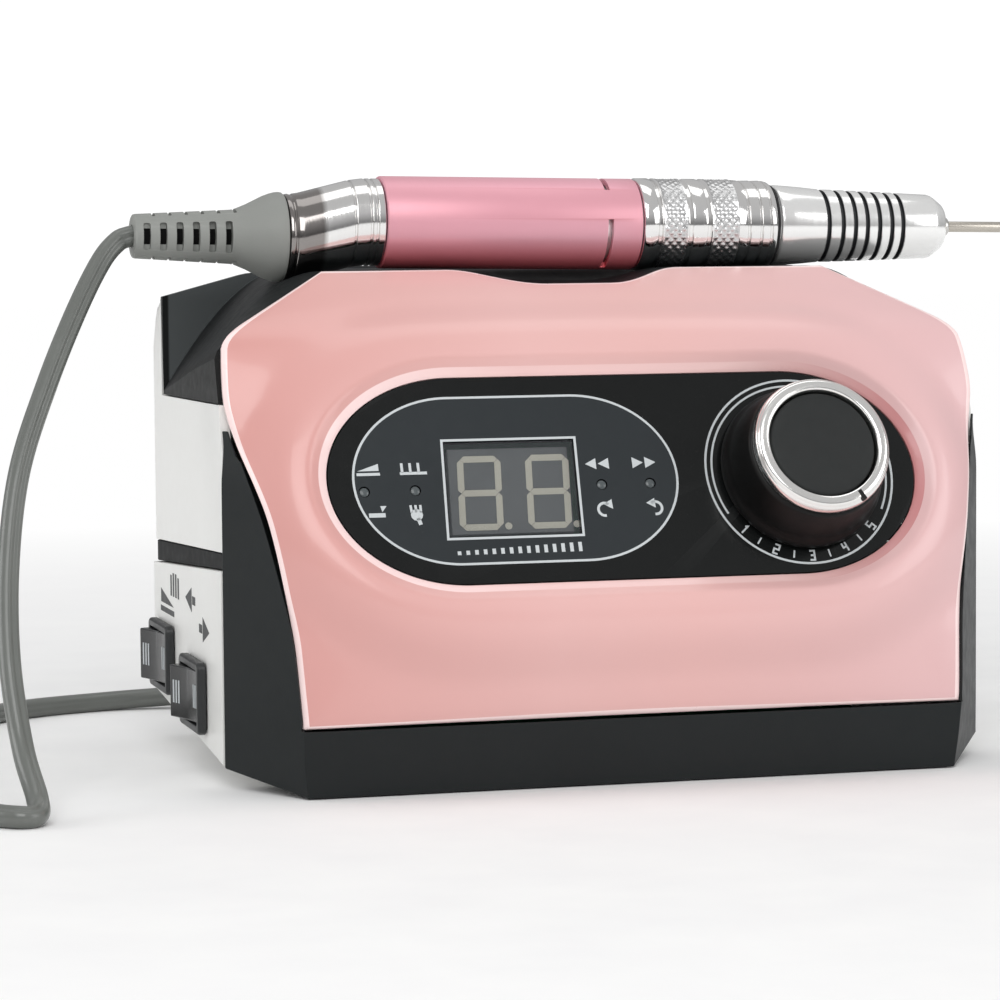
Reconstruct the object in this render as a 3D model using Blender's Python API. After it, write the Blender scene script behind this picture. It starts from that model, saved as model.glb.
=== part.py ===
# Electric nail drill: control unit with a handpiece lying in its top cradle.
#
# World frame: metres, +Z up, +X to the user's right, +Y away from the user.
# The origin is the centre of the rubber base mat's resting face.
# Dimensions below are in millimetres in the case frame: X as in the world,
# Y measured back from the front foot of the bezel, Z up from the case underside.
# The handpiece points its nose to the right. Its cable leaves the left end, drops
# beside the case and runs round behind it to a jack in the rear wall.

import bpy
import bmesh
import math
from mathutils import Vector, Matrix

for old in list(bpy.data.objects):
    bpy.data.objects.remove(old, do_unlink=True)

# ------------------------------------------------------------------ driving dimensions
CASE_Y_CENTRE = 50.0        # case-frame Y of the world origin
MAT_PROUD = 0.8             # how far the base mat stands below the case
HALF_W = 81.1               # half width of the case
LOWER_HALF_W = HALF_W + 0.6
BAND_HALF_W = HALF_W - 0.3
Y_JOIN = 19.1               # plane where the front bezel meets the rear shells
Y_BACK = 100.5              # rear wall
Y_WALL = 84.2               # rear wall of the cradle cover
Y_CORNER = Y_WALL + 2.3     # last side station before the rear corners
CORNER_R = 5.0              # rear corners in plan
PANEL_T = 2.4               # wall of the front panel
SHELL_T = 2.0               # wall of the other shells
GAP = 0.3                   # running gap between neighbouring pieces
SEAM = GAP / 2              # each shell's share of the gap at a seam

# front panel stations from the bottom up:
# side edge (half width, Y, Z), centre line (Y, Z)
PANEL_ROWS = [
    ((69.6, -1.3, 13.3), (-1.3, 13.3)),
    ((69.9, -0.8, 18.0), (-2.7, 18.0)),
    ((70.3, 0.2, 24.0), (-3.9, 24.2)),
    ((70.7, 1.2, 30.0), (-4.7, 30.4)),
    ((71.6, 2.8, 36.0), (-4.9, 36.4)),
    ((72.7, 4.6, 42.0), (-4.35, 42.0)),
    ((73.9, 6.6, 48.0), (-1.58, 48.0)),
    ((75.1, 9.1, 54.0), (1.19, 54.0)),
    ((76.7, 11.8, 60.0), (3.97, 60.0)),
    ((78.3, 15.1, 66.0), (6.74, 66.0)),
    ((79.8, 17.9, 72.0), (9.51, 72.0)),
    ((80.9, 19.6, 77.5), (12.05, 77.5)),
    ((80.6, 22.5, 84.5), (15.6, 84.5)),
    ((79.8, 25.9, 90.6), (21.0, 91.2)),
    ((67.4, 34.2, 97.0), (30.5, 98.0)),
    ((55.0, 42.6, 103.4), (42.6, 103.4)),
]
# columns of the front panel, as fractions of the half width
PANEL_COLS = [-1.0, -0.95, -0.88, -0.8, -0.68, -0.52, -0.36, -0.24, -0.12, 0.0,
              0.1, 0.2, 0.3, 0.44, 0.6, 0.76, 0.88, 0.95, 1.0]
PANEL_CURVE = 2.6           # power by which a station leaves its centre line
TOP_HALF_W = PANEL_ROWS[-1][0][0]   # half length of the straight top rim

# finger dip in the top rim
DIP_X = (-28.6, -7.4, 5.2, 22.2)    # start, deepest from, deepest to, end
DIP_SHARE = 0.56            # share of the top row's height lost at the deepest
DIP_FLOOR = 3.6             # how far the cradle floor drops behind it
DIP_FADE_Y = (44.0, 66.0)   # where that drop fades out towards the rear

# control panel, tilted back, with half-ellipse ends
TILT = math.radians(24.8)
PILL_HALF_L = 62.5
PILL_HALF_H = 22.35
PILL_END = 27.5             # length of each elliptic end
PILL_STRAIGHT = PILL_HALF_L - PILL_END
RIM_RISE = 2.2              # front panel stands this far above the control panel
RIM_FLARE = 3.8             # how far the bevelled rim opens out
RIM_BLEND = (4.0, 9.5)      # distance outside the outline over which the rim fades

# handpiece: it lies along X, nose slightly down
HP_Y = 57.0
HP_Z = 112.4
HP_PITCH = math.radians(0.9)
BARREL_R = 9.8
HP_SEGS = 20
SHANK_R = 1.175             # 3/32 in bit shank

# sockets in the rear wall
SOCKET_Z = 27.0
HP_JACK_X = -46.0
PEDAL_JACK_X = -16.0
INLET_X = 50.0

CABLE_R = 2.2


# ------------------------------------------------------------------ materials
def material(name, rgb, roughness, metallic=0.0):
    mat = bpy.data.materials.new(name)
    mat.use_nodes = True
    shader = mat.node_tree.nodes["Principled BSDF"]
    shader.inputs["Base Color"].default_value = (*rgb, 1.0)
    shader.inputs["Roughness"].default_value = roughness
    shader.inputs["Metallic"].default_value = metallic
    mat.diffuse_color = (*rgb, 1.0)
    return mat


PINK = material("panel_pink", rgb=(0.80, 0.42, 0.40), roughness=0.25)
BLACK = material("case_black", rgb=(0.025, 0.028, 0.028), roughness=0.35)
WHITE = material("case_white", rgb=(0.78, 0.78, 0.76), roughness=0.35)
RUBBER = material("rubber_black", rgb=(0.03, 0.03, 0.03), roughness=0.8)
GREY_RUBBER = material("relief_grey", rgb=(0.22, 0.22, 0.21), roughness=0.6)
CABLE_GREY = material("cable_grey", rgb=(0.25, 0.25, 0.24), roughness=0.5)
CHROME = material("chrome", rgb=(0.80, 0.80, 0.80), roughness=0.08, metallic=1.0)
STEEL = material("steel", rgb=(0.55, 0.54, 0.52), roughness=0.25, metallic=1.0)
ANODISED = material("barrel_pink", rgb=(0.72, 0.32, 0.42), roughness=0.22, metallic=0.9)
GLOSS = material("panel_black", rgb=(0.015, 0.018, 0.018), roughness=0.15)
SMOKE = material("window_smoke", rgb=(0.10, 0.10, 0.10), roughness=0.1)
LED_CLEAR = material("led_clear", rgb=(0.20, 0.20, 0.18), roughness=0.2)
BOARD = material("board_green", rgb=(0.02, 0.16, 0.07), roughness=0.5)
COPPER = material("winding", rgb=(0.50, 0.20, 0.08), roughness=0.4, metallic=0.6)
ALUMINIUM = material("aluminium", rgb=(0.60, 0.60, 0.60), roughness=0.4, metallic=1.0)
BRASS = material("brass", rgb=(0.60, 0.45, 0.18), roughness=0.3, metallic=1.0)


# ------------------------------------------------------------------ numbers and frames
def mix(start, end, t):
    return start + (end - start) * t


def clamp01(t):
    return max(0.0, min(1.0, t))


def smoothstep(start, end, x):
    t = clamp01((x - start) / (end - start))
    return t * t * (3 - 2 * t)


def world(p):
    """Case-frame millimetres to world metres."""
    return Vector((p[0] / 1000.0, (p[1] - CASE_Y_CENTRE) / 1000.0, (p[2] + MAT_PROUD) / 1000.0))


def make_frame(origin, along, up, out):
    """A plane in the case frame: its origin, two directions in it, and its normal."""
    return Vector(origin), Vector(along), Vector(up), Vector(out)


def frame_point(frame, a, b, c):
    origin, along, up, out = frame
    return world(origin + along * a + up * b + out * c)


def frame_matrix(frame, a=0.0, b=0.0, c=0.0):
    """Local X, Y and Z follow the frame's along, up and out."""
    m = Matrix(frame[1:]).transposed().to_4x4()
    m.translation = frame_point(frame, a, b, c)
    return m


PANEL_FRAME = make_frame((0.0, 7.0, 61.3), (1.0, 0.0, 0.0),
                         (0.0, math.sin(TILT), math.cos(TILT)),
                         (0.0, -math.cos(TILT), math.sin(TILT)))
FLOOR_FRAME = make_frame((0.0, CASE_Y_CENTRE, 0.0), (1, 0, 0), (0, 1, 0), (0, 0, 1))


# ------------------------------------------------------------------ mesh builders
def finish_mesh(name, bm, mat, smooth_deg=35.0, recalc=True):
    if recalc:
        bmesh.ops.recalc_face_normals(bm, faces=bm.faces[:])
    mesh = bpy.data.meshes.new(name)
    bm.to_mesh(mesh)
    bm.free()
    mesh.shade_smooth()
    mesh.set_sharp_from_angle(angle=math.radians(smooth_deg))
    ob = bpy.data.objects.new(name, mesh)
    bpy.context.scene.collection.objects.link(ob)
    mesh.materials.append(mat)
    return ob


def empty(name, matrix):
    ob = bpy.data.objects.new(name, None)
    bpy.context.scene.collection.objects.link(ob)
    ob.matrix_world = matrix
    return ob


def boolean(ob, tool, name, operation):
    """Apply a helper solid to a piece; the helper itself isn't rendered."""
    tool.hide_render = True
    tool.display_type = 'WIRE'
    mod = ob.modifiers.new(name, 'BOOLEAN')
    mod.operation = operation
    mod.object = tool
    mod.solver = 'EXACT'


def cut(ob, tool):
    boolean(ob, tool, "cut", 'DIFFERENCE')


def unite(ob, tool):
    boolean(ob, tool, "join", 'UNION')


def sheet(name, points, mat, thickness, cell=None, flip=False):
    """Thin shell from a grid of case-frame points; cell(i, j) says which cells exist."""
    bm = bmesh.new()
    used = {}

    def vert(i, j):
        if (i, j) not in used:
            used[(i, j)] = bm.verts.new(world(points[i][j]))
        return used[(i, j)]

    for i in range(len(points) - 1):
        for j in range(len(points[0]) - 1):
            if cell is not None and not cell(i, j):
                continue
            quad = [vert(i, j), vert(i, j + 1), vert(i + 1, j + 1), vert(i + 1, j)]
            if flip:
                quad.reverse()
            bm.faces.new(quad)
    ob = finish_mesh(name, bm, mat, recalc=False)
    wall = ob.modifiers.new("wall", 'SOLIDIFY')
    wall.thickness = thickness / 1000.0
    wall.offset = -1.0
    wall.use_even_offset = True
    wall.use_quality_normals = True
    return ob


def loft(name, rings, mat, smooth_deg=35.0):
    """Closed solid through rings of equal point count, given in metres."""
    bm = bmesh.new()
    verts = [[bm.verts.new(p) for p in ring] for ring in rings]
    count = len(rings[0])
    for near, far in zip(verts, verts[1:]):
        for j in range(count):
            k = (j + 1) % count
            bm.faces.new((near[j], near[k], far[k], far[j]))
    bm.faces.new(verts[0])
    bm.faces.new(list(reversed(verts[-1])))
    return finish_mesh(name, bm, mat, smooth_deg)


def turned(name, profile, mat, segs, parent, axis='Z'):
    """Turned solid about the parent's axis. The profile is (position along axis,
    radius) in mm, going round the section; one that begins and ends on the axis is
    solid, else it is a loop."""
    bm = bmesh.new()
    solid = profile[0][1] == 0.0 and profile[-1][1] == 0.0

    def vert(along, r, angle):
        u, v = r * math.cos(angle), r * math.sin(angle)
        point = (along, u, v) if axis == 'X' else (u, v, along)
        return bm.verts.new(Vector(point) / 1000.0)

    rings = []
    for along, r in profile:
        count = 1 if r == 0.0 else segs
        rings.append([vert(along, r, 2 * math.pi * k / segs) for k in range(count)])
    for i in range(len(rings) - 1 if solid else len(rings)):
        near, far = rings[i], rings[(i + 1) % len(rings)]
        for j in range(segs):
            k = (j + 1) % segs
            if len(near) == 1:
                bm.faces.new((near[0], far[k], far[j]))
            elif len(far) == 1:
                bm.faces.new((near[j], near[k], far[0]))
            else:
                bm.faces.new((near[j], near[k], far[k], far[j]))
    ob = finish_mesh(name, bm, mat)
    ob.parent = parent
    return ob


def collar(start, end, outer, inner=0.0):
    """Profile of a plain ring, or of a plain rod where there is no inner radius."""
    return [(start, inner), (start, outer), (end, outer), (end, inner)]


def prism(name, outline, frame, c0, c1, mat):
    """Straight prism: outline (a, b) in mm on a frame, from height c0 to c1."""
    return loft(name, [[frame_point(frame, a, b, c) for a, b in outline] for c in (c0, c1)], mat)


def upright(name, outline, z0, z1, mat):
    """Vertical prism from an (x, y) outline in the case frame."""
    return loft(name, [[world((x, y, z)) for x, y in outline] for z in (z0, z1)], mat)


def box(name, low, high, mat, chamfer=0.0):
    """Box in the case frame, with its vertical edges chamfered if asked."""
    (x0, y0, z0), (x1, y1, z1) = low, high
    c = chamfer
    if c > 0:
        outline = [(x0 + c, y0), (x1 - c, y0), (x1, y0 + c), (x1, y1 - c),
                   (x1 - c, y1), (x0 + c, y1), (x0, y1 - c), (x0, y0 + c)]
    else:
        outline = [(x0, y0), (x1, y0), (x1, y1), (x0, y1)]
    return upright(name, outline, z0, z1, mat)


def circle_at(centre, u, w, radius, count):
    """Points of a circle in the plane of the unit vectors u and w."""
    angles = [2 * math.pi * k / count for k in range(count)]
    return [centre + u * (radius * math.cos(q)) + w * (radius * math.sin(q)) for q in angles]


def sweep(name, path, radii, count, side, mat, smooth_deg=35.0):
    """Round solid along a case-frame path, without twist; side is where rings start."""
    rings = []
    last = len(path) - 1
    for i, centre in enumerate(path):
        tangent = (path[min(i + 1, last)] - path[max(i - 1, 0)]).normalized()
        side = (side - tangent * side.dot(tangent)).normalized()
        ring = circle_at(centre, side, tangent.cross(side), radii[i], count)
        rings.append([world(p) for p in ring])
    return loft(name, rings, mat, smooth_deg)


def rounded(w, h, r, steps=3):
    """Rounded rectangle about the origin."""
    points = []
    for qx, qy, start in ((1, 1, 0), (-1, 1, 90), (-1, -1, 180), (1, -1, 270)):
        for k in range(steps + 1):
            a = math.radians(start + 90.0 * k / steps)
            points.append((qx * (w / 2 - r) + r * math.cos(a),
                           qy * (h / 2 - r) + r * math.sin(a)))
    return points


def pill(grow=0.0, steps=9):
    """Outline of the control panel: straight sides and half-ellipse ends."""
    ra, rb = PILL_END + grow, PILL_HALF_H + grow
    points = []
    for side in (1, -1):
        for k in range(steps + 1):
            t = -side * math.pi / 2 + math.pi * k / steps
            points.append((side * PILL_STRAIGHT + ra * math.cos(t), rb * math.sin(t)))
    return points


# ------------------------------------------------------------------ front panel
# panel opening: (height above the control panel, growth of its outline)
PANEL_OPENING = ((-9.0, 0.0), (0.0, 0.0), (RIM_RISE, RIM_FLARE),
                 (RIM_RISE + 4.0, RIM_FLARE + 6.9))


def pill_distance(a, b):
    """Rough distance outside the control panel's outline."""
    da = max(0.0, abs(a) - PILL_STRAIGHT)
    scale = math.hypot(da / PILL_END, b / PILL_HALF_H)
    if scale < 1e-6:
        return -PILL_HALF_H
    r = math.hypot(da, b)
    return r - r / scale


def dip(x):
    """Depth of the finger dip at x, from 0 to 1."""
    start, deep_from, deep_to, end = DIP_X
    return smoothstep(start, deep_from, x) * (1.0 - smoothstep(deep_to, end, x))


def panel_point(row, u):
    """Front panel surface; near the control panel it is pulled to a flat rim."""
    (edge_x, edge_y, edge_z), (mid_y, mid_z) = PANEL_ROWS[row]
    g = abs(u) ** PANEL_CURVE
    p = Vector((u * edge_x, mix(mid_y, edge_y, g), mix(mid_z, edge_z, g)))
    if row == 0:
        return p
    origin, along, up, out = PANEL_FRAME
    rel = p - origin
    w = 1.0 - smoothstep(*RIM_BLEND, pill_distance(rel.dot(along), rel.dot(up)))
    return p + out * ((RIM_RISE - rel.dot(out)) * w)


def build_front_panel():
    grid = [[panel_point(k, u) for u in PANEL_COLS] for k in range(len(PANEL_ROWS))]
    grid[-1] = [p.lerp(below, DIP_SHARE * dip(p.x)) for p, below in zip(grid[-1], grid[-2])]
    panel = sheet("front_panel", grid, PINK, PANEL_T)
    rings = [[frame_point(PANEL_FRAME, a, b, c) for a, b in pill(grow)]
             for c, grow in PANEL_OPENING]
    cut(panel, loft("panel_hole", rings, BLACK))


# ------------------------------------------------------------------ front bezel
WING_Z = [67.0, 61.0, 54.0, 46.0, 38.0, 30.0, 23.0, 18.0, 13.0]
# rows below the wings: front corner (half width, Y, Z), Z at the joint
CHIN_ROWS = (((69.0, -0.65, 6.5), 8.4), ((68.3, 0.0, 0.0), 3.9))
# underside row, from the joint forward: (half width, Y), at Z 0
UNDERSIDE = ((66.0, Y_JOIN), (66.0, 15.0), (65.5, 10.0), (63.5, 8.3))
BEZEL_U = (-0.7, -0.35, 0.0, 0.35, 0.7)     # columns between the front corners
PANEL_SEAT = PANEL_T + 0.25     # step back behind the front panel's edge


def side_edge(z):
    """Front panel's side edge at a height, as (half width, Y)."""
    edges = [row[0] for row in PANEL_ROWS]
    for (xa, ya, za), (xb, yb, zb) in zip(edges, edges[1:]):
        if za <= z <= zb:
            t = (z - za) / (zb - za)
            return mix(xa, xb, t), mix(ya, yb, t)
    return edges[0][:2]     # below the lowest station


def bezel_side(sign):
    """Columns from the rear plane forward, for one side; rows from the top down."""
    rows = []
    for z in WING_Z:
        x, y = side_edge(z)
        row = [(sign * mix(HALF_W, x, t), mix(Y_JOIN, y + PANEL_SEAT, t), z)
               for t in (0.0, 0.5, 1.0)]
        rows.append(row + [(sign * x, y, z)])
    for (x, y, z), joint_z in CHIN_ROWS:
        rows.append([(sign * mix(HALF_W, x, t), mix(Y_JOIN, y, t), mix(joint_z, z, t))
                     for t in (0.0, 0.5, 0.86, 1.0)])
    rows.append([(sign * x, y, 0.0) for x, y in UNDERSIDE])
    return rows


def build_front_bezel():
    """Two side wings joined by a chin below the front panel."""
    grid = []
    for left, right in zip(bezel_side(-1), bezel_side(1)):
        x, y, z = left[-1]
        grid.append(left + [(-x * u, y, z) for u in BEZEL_U] + right[::-1])
    chin = len(WING_Z) - 1
    last = len(grid[0]) - 3
    bezel = sheet("front_bezel", grid, BLACK, SHELL_T,
                  cell=lambda i, j: i >= chin or j < 2 or j >= last, flip=True)
    # its wall would lean back over the joint, so it is trimmed square there
    cut(bezel, box("bezel_trim", (-90.0, Y_JOIN - 0.1, -5.0), (90.0, Y_JOIN + 10.0, 80.0), BLACK))


# ------------------------------------------------------------------ rear shells
HULL_FRONT = (17.6, 3.9)        # (Y, Z) of the side wall's lower edge
HULL_REAR = (Y_BACK, 11.0)
BOTTOM_HALF_W = 66.6            # the underside tapers in to this
BOTTOM_BACK = 88.0              # and forward to this
WALL_KNEE_X = 62.9              # outside this the cradle's rear wall slopes down
WALL_SIDE_Z = 97.2              # top of that wall at the case sides
WALL_KNEE_Z = 102.0
SHOULDER_Y = 22.4               # upper case front corner, clear of the panel's rim


def stripe_z(y):
    """Bottom and top of the dark band at a depth y."""
    t = (y - Y_JOIN) / (Y_BACK - Y_JOIN)
    return mix(43.5, 38.4, t), mix(46.9, 43.3, t)


def hull_z(y):
    """Height of the lower edge of the side wall; the underside slopes in below it."""
    return mix(HULL_FRONT[1], HULL_REAR[1], (y - HULL_FRONT[0]) / (HULL_REAR[0] - HULL_FRONT[0]))


def perimeter(half_w):
    """U-shaped plan line: left side, rear wall, right side."""
    points = [(-half_w, y) for y in (Y_JOIN + GAP, 36.0, 56.0, 72.0, Y_CORNER)]
    cx, cy = half_w - CORNER_R, Y_BACK - CORNER_R
    for k in range(4):
        a = math.radians(180.0 - 30.0 * k)
        points.append((-cx + CORNER_R * math.cos(a), cy + CORNER_R * math.sin(a)))
    points += [(x, Y_BACK) for x in (-62.0, -30.0, 0.0)]
    return points + [(-x, y) for x, y in reversed(points[:-1])]


def build_lower_case():
    plan = perimeter(LOWER_HALF_W)
    rows = [
        [(x, y, stripe_z(y)[0] - SEAM) for x, y in plan],
        [(x, y, 0.5 * (stripe_z(y)[0] + hull_z(y))) for x, y in plan],
        [(x, y, hull_z(y)) for x, y in plan],
        [(max(-BOTTOM_HALF_W, min(BOTTOM_HALF_W, x)), min(y, BOTTOM_BACK), 0.0) for x, y in plan],
    ]
    return sheet("lower_case", rows, WHITE, SHELL_T)


def build_stripe_band():
    plan = perimeter(BAND_HALF_W)
    sheet("stripe_band", [[(x, y, stripe_z(y)[1] - SEAM) for x, y in plan],
                          [(x, y, stripe_z(y)[0] + SEAM) for x, y in plan]], BLACK, SHELL_T)


def cover_edge_z(y):
    """Seam between the upper case and the cradle cover on the sides."""
    return mix(76.7, 75.9, (y - 27.6) / 60.2)


def wall_top(x):
    """Height of the cradle cover's rear wall."""
    ax = abs(x)
    if ax > WALL_KNEE_X:
        return mix(WALL_SIDE_Z, WALL_KNEE_Z, (HALF_W - ax) / (HALF_W - WALL_KNEE_X))
    return WALL_KNEE_Z + 1.2 * min(1.0, (WALL_KNEE_X - ax) / 12.0)


def upper_column(x, y, front_end):
    """Upper case from the top down at one plan point; the first four rows roll the
    rear wall forward to the cradle's rear wall."""
    back = smoothstep(Y_WALL, Y_BACK, y)
    top = wall_top(x)
    behind = y - Y_CORNER
    return [
        (x * (1 - 0.02 * back), Y_WALL + 2.7 + behind * 0.03, top - 0.5),
        (x * (1 - 0.012 * back), Y_WALL + 2.6 + behind * 0.5, top - 0.8 - 1.2 * back),
        (x * (1 - 0.004 * back), y - 2.2 * back, top - 2.4 - 3.2 * back),
        (x, y, 86.0),
        (x, SHOULDER_Y if front_end else y, cover_edge_z(y) - SEAM),
        (x, y, 67.0),
        (x, y, stripe_z(y)[1] + SEAM),
    ]


def build_upper_case():
    """White wall above the band; only its rear part rises above the cover's seam."""
    plan = perimeter(HALF_W)
    count = len(plan)
    columns = [upper_column(x, y, j in (0, count - 1)) for j, (x, y) in enumerate(plan)]
    sheet("upper_case", list(zip(*columns)), WHITE, SHELL_T,
          cell=lambda i, j: i >= 4 or 4 <= j < count - 5)


# ------------------------------------------------------------------ cradle cover
COVER_X = [-81.1, -79.0, -74.0, -68.0, -62.0, -55.0, -42.0, -30.0, -22.0, -14.0, -6.0,
           5.0, 13.0, 22.0, 34.0, 55.0, 62.0, 68.0, 74.0, 79.0, 81.1]
COVER_Y = [50.4, 52.6, 54.8, 57.0, 59.2, 61.4, 63.6, 74.0, Y_WALL]   # rows behind the front edge
COVER_FRONT_END = (26.2, 85.8)  # (Y, Z) of the front edge at the case sides
COVER_SKIRT_Y = 22.8            # front end of the lower side edge
FLAT_Z = 102.9                  # floor height between the sloping ends
FLOOR_CURVE = 1.7               # power of the slope towards each end
CRADLE_R = BARREL_R + 0.6       # groove the barrel lies in
RIM_BELOW = (30.6, 98.0)        # (Y, Z) the rim heads for in the finger dip


def hp_axis_z(x):
    return HP_Z - math.tan(HP_PITCH) * x


def floor_z(x, y):
    """Cradle floor: flat middle, ends sloping down, barrel groove and finger dip."""
    end_z = mix(86.2, 77.6, (y - 28.6) / 51.2)
    t = clamp01((HALF_W - abs(x)) / (HALF_W - TOP_HALF_W))
    z = mix(end_z, FLAT_Z, 1.0 - (1.0 - t) ** FLOOR_CURVE)
    d = abs(y - HP_Y)
    if d < CRADLE_R:
        z = min(z, hp_axis_z(x) - math.sqrt(CRADLE_R * CRADLE_R - d * d))
    return z - dip(x) * DIP_FLOOR * (1.0 - smoothstep(*DIP_FADE_Y, y))


def panel_top(x):
    """Front panel's top edge at a given x, as (y, z)."""
    shoulder, upper, top = [row[0] for row in PANEL_ROWS[-3:]]
    ax = abs(x)
    if ax <= top[0]:
        t = DIP_SHARE * dip(x)
        return mix(top[1], RIM_BELOW[0], t), mix(top[2], RIM_BELOW[1], t)
    start, end = (top, upper) if ax <= upper[0] else (upper, shoulder)
    t = min(1.0, (ax - start[0]) / (end[0] - start[0]))
    return mix(start[1], end[1], t), mix(start[2], end[2], t)


def cover_front(x):
    """Front edge of the cover, just behind and below the panel's top edge."""
    if abs(x) > 80.0:
        y, z = COVER_FRONT_END
    else:
        y, z = panel_top(x)
        y, z = y + 2.8, z - 1.0
    return x, y, min(floor_z(x, y), z)


def with_skirts(row, y):
    """Add the lower side edges at both ends of a row."""
    z = cover_edge_z(y) + SEAM
    return [(-HALF_W, y, z)] + row + [(HALF_W, y, z)]


def build_cradle_cover():
    rows = [with_skirts([cover_front(x) for x in COVER_X], COVER_SKIRT_Y)]
    rows += [with_skirts([(x, y, floor_z(x, y)) for x in COVER_X], y) for y in COVER_Y]
    # the rear wall has no skirts, so its end cells are left out
    wall = [(x, Y_WALL, max(wall_top(x), floor_z(x, Y_WALL) + 0.5)) for x in COVER_X]
    rows.append([None] + wall + [None])
    wall_row, last = len(rows) - 2, len(rows[0]) - 2
    sheet("cradle_cover", rows, BLACK, SHELL_T,
          cell=lambda i, j: i < wall_row or 0 < j < last)


# ------------------------------------------------------------------ base
BASE_OUTLINE = [(-62.0, 8.8), (62.0, 8.8), (64.4, 11.2), (64.4, 84.0),
                (62.0, 86.4), (-62.0, 86.4), (-64.4, 84.0), (-64.4, 11.2)]
MAT_W, MAT_D, MAT_R = 104.0, 70.0, 6.0
SCREW_X = 58.5
SCREW_Y = (("front", 16.0), ("rear", 81.5))
SCREW = [(0.4, 0.0), (0.4, 2.7), (1.2, 2.7), (1.2, 1.4), (7.0, 1.4), (7.6, 0.0)]
SCREW_HOLE = [(-1.0, 0.0), (-1.0, 3.1), (1.5, 3.1), (1.6, 1.75), (4.0, 1.75), (4.0, 0.0)]


def build_base():
    plate = upright("base_plate", BASE_OUTLINE, 0.0, 2.2, BLACK)
    prism("base_mat", rounded(MAT_W, MAT_D, MAT_R), FLOOR_FRAME, -MAT_PROUD, 0.5, RUBBER)
    recess = rounded(MAT_W + 2 * GAP, MAT_D + 2 * GAP, MAT_R + GAP)
    cut(plate, prism("mat_recess", recess, FLOOR_FRAME, -2.0, 0.8, BLACK))
    for row, y in SCREW_Y:
        for side, x in (("left", -SCREW_X), ("right", SCREW_X)):
            name = "base_screw_%s_%s" % (row, side)
            axis = empty(name + "_axis", Matrix.Translation(world((x, y, 0.0))))
            turned(name, SCREW, STEEL, 12, axis)
            cut(plate, turned(name + "_hole", SCREW_HOLE, BLACK, 12, axis))


# ------------------------------------------------------------------ control panel
# positions (along, up) on the control panel
WINDOW = ((-39.5, -12.2), (-10.8, -12.2), (-9.3, 8.9), (-38.0, 8.9))
LEDS = (("led_foot", -55.0, -1.9), ("led_hand", -44.5, -1.9),
        ("led_reverse", -5.5, -1.7), ("led_forward", 4.8, -1.7))
BOARD_OUTLINE = [(-58.0, -15.0), (22.0, -15.0), (22.0, 15.0), (-58.0, 15.0)]
LED_PROFILE = [(-7.8, 0.0), (-7.8, 1.3), (-2.2, 1.3), (-2.2, 0.95), (-0.15, 0.95), (-0.15, 0.0)]


def window_inset(margin):
    """Window outline with each corner moved inwards along both axes."""
    mid_a = sum(a for a, b in WINDOW) / 4
    mid_b = sum(b for a, b in WINDOW) / 4
    return [(a + (margin if a < mid_a else -margin), b + (margin if b < mid_b else -margin))
            for a, b in WINDOW]


def build_control_panel():
    panel = prism("display_panel", pill(-GAP), PANEL_FRAME, -1.6, 0.0, GLOSS)
    cut(panel, prism("window_hole", WINDOW, PANEL_FRAME, -3.0, 1.0, BLACK))
    prism("display_window", window_inset(GAP), PANEL_FRAME, -1.6, -0.1, SMOKE)
    prism("digit_display", window_inset(1.3), PANEL_FRAME, -7.8, -1.95, GLOSS)
    for name, a, b in LEDS:
        axis = empty(name + "_axis", frame_matrix(PANEL_FRAME, a, b))
        turned(name, LED_PROFILE, LED_CLEAR, 12, axis)
        cut(panel, turned(name + "_hole", collar(-3.0, 1.0, 1.25), BLACK, 12, axis))
    prism("control_board", BOARD_OUTLINE, PANEL_FRAME, -9.7, -8.1, BOARD)
    return panel


# ------------------------------------------------------------------ speed knob
KNOB_A = 37.2               # knob axis, along the control panel
KNOB_R = 18.0
# heights are above the control panel's face: (name, material, segments, profile)
KNOB_PARTS = (
    ("potentiometer", ALUMINIUM, 20,
     [(-12.0, 0.0), (-12.0, 8.5), (-2.0, 8.5), (-2.0, 4.2), (2.6, 4.2), (2.6, 3.15),
      (-7.0, 3.15), (-7.0, 0.0)]),
    ("pot_nut", BRASS, 6, collar(0.3, 2.3, 6.5, 5.0)),
    ("pot_shaft", ALUMINIUM, 16, collar(-6.7, 12.2, 2.85)),
    ("knob_body", BLACK, 24,
     [(12.5, 0.0), (12.5, 3.15), (3.2, 3.15), (3.2, 8.5), (0.8, 8.5), (0.8, 17.5),
      (1.3, KNOB_R), (2.6, 17.9), (4.2, 16.6), (12.4, 15.1), (13.0, 14.6), (13.0, 0.0)]),
    ("knob_ring", CHROME, 24,
     [(13.3, 11.7), (13.3, 14.5), (14.2, 14.7), (15.9, 14.3), (16.4, 13.6), (16.4, 12.1),
      (16.0, 11.7)]),
    ("knob_cap", BLACK, 24,
     [(13.3, 0.0), (13.3, 11.35), (15.4, 11.35), (15.8, 10.8), (15.8, 0.0)]),
)


def build_knob(panel):
    axis = empty("knob_axis", frame_matrix(PANEL_FRAME, KNOB_A, 0.0))
    cut(panel, turned("pot_hole", collar(-4.0, 1.0, 4.6), BLACK, 16, axis))
    for name, mat, segs, profile in KNOB_PARTS:
        turned(name, profile, mat, segs, axis)


# ------------------------------------------------------------------ rocker switches
# standard 21 x 15 mm snap-in type: (length, width, height or depth)
SWITCH_BEZEL = (21.4, 15.0, 1.8)
SWITCH_BODY = (19.2, 12.8, 18.0)
SWITCH_POCKET = (18.0, 11.6, 8.2)
SWITCH_FACE = GAP + SWITCH_BEZEL[2]     # bezel's face above the wall
PIVOT_DEPTH = 2.0                       # rocker pivot below that face
ROCKER_TILT = math.radians(12.0)        # sinks the end the frame's along points to
ROCKER_HALF_W = 5.5
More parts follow.
